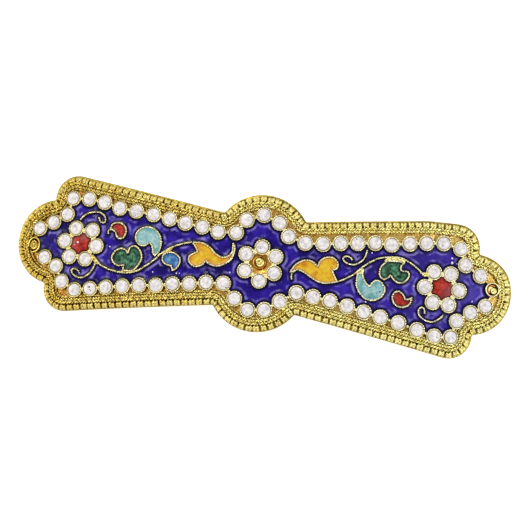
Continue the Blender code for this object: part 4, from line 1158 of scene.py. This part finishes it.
def make_field(loops, upper, lower):
    """The blue ground, hollow between its walls, and cut round every dot, petal, leaf and rivet."""
    edge = upper + [rivet_place("right")] + lower[::-1] + [rivet_place("left")]
    flowers = [petals_of(name) for name in FLOWERS]
    cuts = [ring(c) for row in (upper, lower, *flowers) for c in row]
    cuts += [oval(rivet_place(name), reach) for name, reach in RIVET_REACH.items()]
    cuts += loops.values()
    routes = [smooth(route, False, 8) for route in STRANDS]
    plan, faces = plan_of([edge, *cuts], between(edge, cuts + flowers), FIELD_GRID, FIELD_GRID * 0.45, routes)
    walls = [p for cut in cuts for p in samples_along(cut, True)]
    walls += [p for route in routes for p in samples_along(route, False)]
    distance = distances_to(walls)(plan)
    top = FIELD_LOW + FIELD_RISE * np.exp(-np.maximum(0, distance - WIRE_SPREAD) / FIELD_CREEP)
    top += FIELD_WAVE * waves(plan, 2.6, 3.0) + FIELD_RIPPLE * waves(plan, 0.9, 8.0)
    mesh = bend(slab("blue_ground", plan, faces, top, distance))
    nodes = ["blue_field", "left_tip_field", "right_tip_field"]
    piece("blue_ground", mesh, nodes, BLUE_ENAMEL, smooth=70)


def glint_dome(place, radius, low):
    """A small white dome in the enamel, a painted glint, coloured like glass that is far from any wire."""
    mesh = ball("glint_dome", place, radius, low, low + 1.6 * radius, np.linspace(0, math.pi, 9), 12)
    return set_values(mesh, "wall_distance", np.full(len(mesh.vertices), 2.0))


def make_glints_and_pits():
    """Painted glints as small white domes in the enamel, and sooty pits."""
    for name, glints, low, node in (("blue_bubbles", GLINT_DOMES, 0.62, "blue_field"),
                                     ("red_bubbles", EYE_GLINT_DOMES, 0.80, "left_eye")):
        mesh = joined(name, [glint_dome(place, radius, low) for place, radius in glints])
        piece(name, bend(mesh), [node], WHITE_ENAMEL)
    pits = [granule(place, radius, low, low + 0.12) for place, radius, low in SOOT_PITS]
    piece("soot_pits", bend(joined("soot_pits", pits)), [], SOOT)


def make_petal_solder():
    """Solder run into the corners where two petals meet beside the middle of a flower."""
    meshes = []
    for name, (centre, _) in FLOWERS.items():
        petals = petals_of(name)
        for one, other in zip(petals, petals[1:] + petals[:1]):
            corner = (one + other) / 2
            corner += (Vector(centre) - corner).normalized() * 0.36
            meshes.append(granule(corner, 0.36, 0.30, 0.96))
    mesh = bend(roughened(joined("petal_solder", meshes), 0.05, 0.4, 8.0))
    piece("petal_solder", mesh, [], RING_GILT, smooth=60)


def make_hearts():
    """What fills the middle of each flower: red enamel in the outer two, gilt sheet in the centre one."""
    for name, (centre, _) in FLOWERS.items():
        petals = petals_of(name)
        rings = [ring(c) for c in petals]
        holes = rings + ([circle(RIVETS[name], RIVET_HOLE, 24)] if name == "centre" else [])
        plan, faces = plan_of([petals, *holes], between(petals, holes), 0.25, 0.1)
        reach = np.hypot(plan[:, 0] - centre[0], plan[:, 1] - centre[1])
        if name == "centre":
            top = HEART_SHEET_HEIGHT + 0.10 * np.clip((reach - 1.1) / 0.8, 0, 1)
            top += 0.04 * waves(plan, 0.9, 4.0)
            mesh = slab("centre_flower_sheet", plan, faces, top)
            # Painted shade: the sheet darkens towards its upper left
            away = (plan - np.array(centre)) @ HEART_SHADE_WAY
            painted_shade = HEART_SHADE_SHARE * np.clip((away + 0.05) / 0.3, 0, 1)
            set_values(mesh, "rim", np.tile(painted_shade, 2))
            piece("centre_flower_sheet", bend(mesh), [], HALF_SHADED_GILT, smooth=60)
        else:
            distance = distances_to([p for r in rings for p in samples_along(r, True)])(plan)
            top = EYE_HEIGHT + 0.18 * np.maximum(0, 1 - (reach / 1.7) ** 2) + 0.03 * waves(plan, 0.7, 5.0)
            mesh = bend(slab(f"{name}_flower_eye", plan, faces, top, distance))
            piece(f"{name}_flower_eye", mesh, [f"{name}_eye"], LEAF_ENAMELS["red"], smooth=60)


# Rivets


# Profiles as radius and height: the shank with its head under the strip, and the wall of the right rivet
SHANK = ((0, -2.75), (0.60, -2.75), (0.88, -2.62), (0.95, -2.40), (0.90, -2.22), (0.50, -2.2), (0.50, 0.30),
         (0, 0.30))
RIVET_WALL = ((0, 0.04), (1.36, 0.04), (1.36, 0.74), (1.28, 0.86), (1.20, 0.92), (1.10, 0.86), (1.04, 0.74),
              (1.00, 0.10), (0, 0.10))


def pit(centre, reach, rim, floor):
    """The dark bottom of a pit, an oval with a low rim."""
    profile = ((0, 0.04), (1.0, 0.04), (1.0, rim - 0.05), (0.96, rim), (0.90, rim - 0.03), (0.80, floor),
               (0, floor))
    return turned_mesh("pit", profile, 36, centre, (*reach, 1))


def granule(centre, radius, low, high, stretch=1.0):
    """A melted grain of gold, flattened where it sits."""
    return ball("granule", centre, radius, low, high, np.linspace(0, math.pi, 12), 20, stretch)


def arc_of(centre, reach, first, last, height):
    """The route of a wire along part of an oval."""
    turns = np.radians(np.linspace(first, last, 25))
    return [(centre.x + reach[0] * math.cos(t), centre.y + reach[1] * math.sin(t), height) for t in turns]


def make_rivets():
    """The three rivets: each has a gold grain in a browned pit, with a band of wire beside it."""
    left, middle, right = (rivet_place(name) for name in RIVETS)
    curl = [(lifted(oval(left, (0.46, 0.70)), 0.80), True)]
    looks = {
        "left": ([granule(left + Vector((-0.06, 0)), 0.30, 0.40, 0.92, 1.6),
                  twisted("curl", curl, 0.17, 0.02, 0.6, BEAD_GILT)],
                 arc_of(left, (1.06, 1.30), -100, 200, 0.80), BEAD_GILT,
                 pit(left, RIVET_REACH["left"], 0.70, 0.20)),
        "centre": ([granule(middle + Vector((0.10, -0.02)), 0.84, 0.20, 0.96),
                    granule(middle + Vector((-0.10, 0.20)), 0.62, 0.50, 1.22)],
                   arc_of(middle, (1.06, 1.06), 0, 359, 0.72), DOME_GILT,
                   granule(RIVETS["centre"], 1.26, 0.04, 0.70)),
        "right": ([granule(right + Vector((0.26, -0.20)), 0.60, 0.16, 0.94)],
                  arc_of(right, (0.74, 0.74), 60, 235, 0.44), DOME_GILT,
                  pit(right, (1.02, 1.02), 0.30, 0.20)),
    }
    for name, (grains, route, band_gilt, bed) in looks.items():
        grain = joined("grain", [*grains, turned_mesh("shank", SHANK, 32, RIVETS[name])])
        band = twisted("band", [(route, False)], 0.11, 0.02, 0.6, band_gilt)
        for part, mesh, material in (("grain", grain, BEAD_GILT), ("band", band, band_gilt),
                                     ("bed", bed, PIT_GILT)):
            piece(f"{name}_rivet_{part}", bend(mesh), [f"{name}_rivet"], material, smooth=50)
    wall = turned_mesh("wall", RIVET_WALL, 36, right)
    piece("right_rivet_wall", bend(wall), ["right_rivet"], WIRE_GILT, smooth=50)


# The clasp


STRIP_BOTTOM = -1.9
STRIP_HALF_LENGTH = 43.4
STRIP_HALF_WIDTH = 3.2
STRIP_EDGE = ((0.2, -1.9), (0.05, -1.84), (0.0, -1.7), (0.0, -1.3), (0.05, -1.16), (0.2, -1.1))
STRIP_GRID = 2.5
STRIP_HOLE = 0.6
ARM_HALF_LENGTH = 37.5
ARM_HALF_WIDTH = 2.8
ARM_THICKNESS = 1.0
ARM_BEVEL = 0.22
CHEEK_LENGTH = 3.0
CHEEK_OVERLAP = 0.4


def strip_outline():
    reach = STRIP_HALF_LENGTH - STRIP_HALF_WIDTH
    straight = [-reach + 2 * reach * i / 40 for i in range(41)]
    turns = [-90 + 180 * i / 16 for i in range(1, 16)]
    loop = []
    for side in (1, -1):
        loop += [(Vector((u * side, -STRIP_HALF_WIDTH * side)), Vector((0, -side))) for u in straight]
        loop += [(polar((reach, 0), STRIP_HALF_WIDTH, a) * side, polar((0, 0), side, a)) for a in turns]
    return loop


def cheek_top(x):
    reach = ARCH_RADIUS + STRIP_BOTTOM + CHEEK_OVERLAP
    return CROWN_HEIGHT - ARCH_RADIUS + math.sqrt(reach * reach - x * x)


def make_clasp():
    """The strip under the plate and, joined to it by two cheeks, the flat spring arm."""
    holes = [circle(place, STRIP_HOLE, 16) for place in RIVETS.values()]
    strip = bend(rimmed_body("strip", strip_outline(), STRIP_EDGE, holes, STRIP_GRID))
    inner = ARM_HALF_LENGTH - CHEEK_LENGTH
    half = [(ARM_HALF_LENGTH, 0), (ARM_HALF_LENGTH, cheek_top(ARM_HALF_LENGTH)), (inner, cheek_top(inner)),
            (inner, ARM_THICKNESS)]
    side = half + [(-x, z) for x, z in half[::-1]]
    bm = bmesh.new()
    near = [bm.verts.new((x * MM, -ARM_HALF_WIDTH * MM, z * MM)) for x, z in side]
    moved = bmesh.ops.extrude_face_region(bm, geom=[bm.faces.new(near)])["geom"]
    verts = [item for item in moved if isinstance(item, bmesh.types.BMVert)]
    bmesh.ops.translate(bm, vec=(0, 2 * ARM_HALF_WIDTH * MM, 0), verts=verts)
    bmesh.ops.recalc_face_normals(bm, faces=bm.faces)
    bmesh.ops.bevel(bm, geom=bm.edges[:], offset=ARM_BEVEL * MM, segments=3, affect="EDGES", profile=0.5)
    arm = bpy.data.meshes.new("arm")
    bm.to_mesh(arm)
    bm.free()
    piece("spring_clasp", joined("spring_clasp", [strip, arm]), ["clasp"], CLASP_GILT)


# Floor, light and camera


CAMERA_TILT = 6.6
CAMERA_SIDE = 5.71
CAMERA_ROLL = 6.9
CAMERA_DISTANCE = 450.0
FOCAL_PIXELS = 2546.0
FRAME_PIXELS = 530.0
PRINCIPAL_POINT = (259.2, 263.9)
SENSOR = 36.0


def make_camera():
    """The photograph's view: nearly from above, fitted to the outline of the plate."""
    back = Vector((math.sin(math.radians(CAMERA_SIDE)), -math.sin(math.radians(CAMERA_TILT)), 0))
    back.z = math.sqrt(1 - back.length_squared)
    flat_x = (Vector((1, 0, 0)) - back * back.x).normalized()
    flat_y = back.cross(flat_x)
    roll = math.radians(CAMERA_ROLL)
    right = flat_x * math.cos(roll) + flat_y * math.sin(roll)
    up = flat_y * math.cos(roll) - flat_x * math.sin(roll)
    data = bpy.data.cameras.new("camera")
    data.sensor_width = SENSOR
    data.lens = FOCAL_PIXELS / FRAME_PIXELS * SENSOR
    data.shift_x = 0.5 - PRINCIPAL_POINT[0] / FRAME_PIXELS
    data.shift_y = PRINCIPAL_POINT[1] / FRAME_PIXELS - 0.5
    data.clip_start, data.clip_end = 0.01, 10
    camera = bpy.data.objects.new("camera", data)
    turn = Matrix((right, up, back)).transposed().to_4x4()
    place = Vector((0, 0, CROWN_HEIGHT * MM)) + back * CAMERA_DISTANCE * MM
    camera.matrix_world = Matrix.Translation(place) @ turn
    bpy.context.scene.collection.objects.link(camera)
    bpy.context.scene.camera = camera


# name, place in metres, width and depth, how bright beside white paper, colour
LAMPS = (
    ("back_box", (-0.10, 0.27, 0.46), (0.60, 0.10), 3.2, "#fffaf2"),
    ("front_box", (0.05, -0.34, 0.42), (0.60, 0.10), 2.6, "#f6f7ff"),
    ("left_box", (-0.52, 0.10, 0.20), (0.20, 0.30), 2.4, "#fffaf2"),
    ("right_box", (0.42, 0.00, 0.44), (0.26, 0.36), 1.4, "#f4f6ff"),
    ("spark", (-0.16, 0.20, 0.50), (0.02, 0.02), 40.0, "#ffffff"),
)
# Strength of the room by height of the direction: horizon, walls, near the zenith, zenith
ROOM = ((0.0, 0.40), (0.35, 0.95), (0.60, 1.00), (0.82, 0.40), (1.0, 0.34))


def make_stage():
    mesh = new_mesh("floor", [(-1, -1, 0), (1, -1, 0), (1, 1, 0), (-1, 1, 0)], [(0, 1, 2, 3)])
    floor = helper_object("floor", mesh)
    material, tree = new_material("white_paper")
    shader = tree.nodes["Principled BSDF"]
    shader.inputs["Base Color"].default_value = linear("#f4f4f4")
    shader.inputs["Roughness"].default_value = 0.9
    shader.inputs["Emission Color"].default_value = (1, 1, 1, 1)
    shader.inputs["Emission Strength"].default_value = 0.6
    mesh.materials.append(material)
    for name, place, (width, depth), brightness, colour in LAMPS:
        data = bpy.data.lights.new(name, "AREA")
        data.shape, data.size, data.size_y = "RECTANGLE", width, depth
        data.energy, data.color = brightness * math.pi * width * depth, linear(colour)[:3]
        lamp = bpy.data.objects.new(name, data)
        lamp.location = place
        lamp.rotation_euler = (-Vector(place)).to_track_quat("-Z", "Y").to_euler()
        bpy.context.scene.collection.objects.link(lamp)
    world = bpy.data.worlds.new("studio")
    bpy.context.scene.world = world
    world.use_nodes = True
    tree = world.node_tree
    direction = add_node(tree, "ShaderNodeTexCoord").outputs["Generated"]
    height = add_node(tree, "ShaderNodeSeparateXYZ", {0: direction}).outputs["Z"]
    ramp = add_node(tree, "ShaderNodeValToRGB", {0: height})
    steps = ramp.color_ramp.elements
    for i, (place, strength) in enumerate(ROOM):
        step = steps[i] if i < 2 else steps.new(place)
        step.position, step.color = place, (strength, strength, strength, 1)
    backdrop = tree.nodes["Background"]
    tree.links.new(ramp.outputs[0], backdrop.inputs["Color"])
    bpy.context.scene.view_settings.view_transform = "Standard"


def main():
    outline = plate_outline()
    upper, lower = row_of_dots("upper"), row_of_dots("lower")
    loops = {name: smooth(points, True, 6) for name, _, points in LEAVES}
    make_camera()
    make_sheet(outline)
    make_bead_wire(outline)
    make_plait(outline)
    make_grains(outline, upper, lower)
    make_dots("upper_row_stones", upper, ["upper_dots"], 1)
    make_dots("lower_row_stones", lower, ["lower_dots"], 2)
    make_rings("upper_row_rings", upper, ["upper_dots"])
    make_rings("lower_row_rings", lower, ["lower_dots"])
    for seed, flower in enumerate(FLOWERS, start=3):
        nodes = [f"{flower}_petal_{i}" for i in range(1, 7)]
        make_dots(f"{flower}_flower_stones", petals_of(flower), nodes, seed)
        make_rings(f"{flower}_flower_rings", petals_of(flower), nodes)
    make_hearts()
    make_glints_and_pits()
    make_petal_solder()
    make_leaves(loops)
    make_leaf_wires(loops)
    make_solder_fills()
    make_field(loops, upper, lower)
    make_rivets()
    make_clasp()
    make_stage()


main()
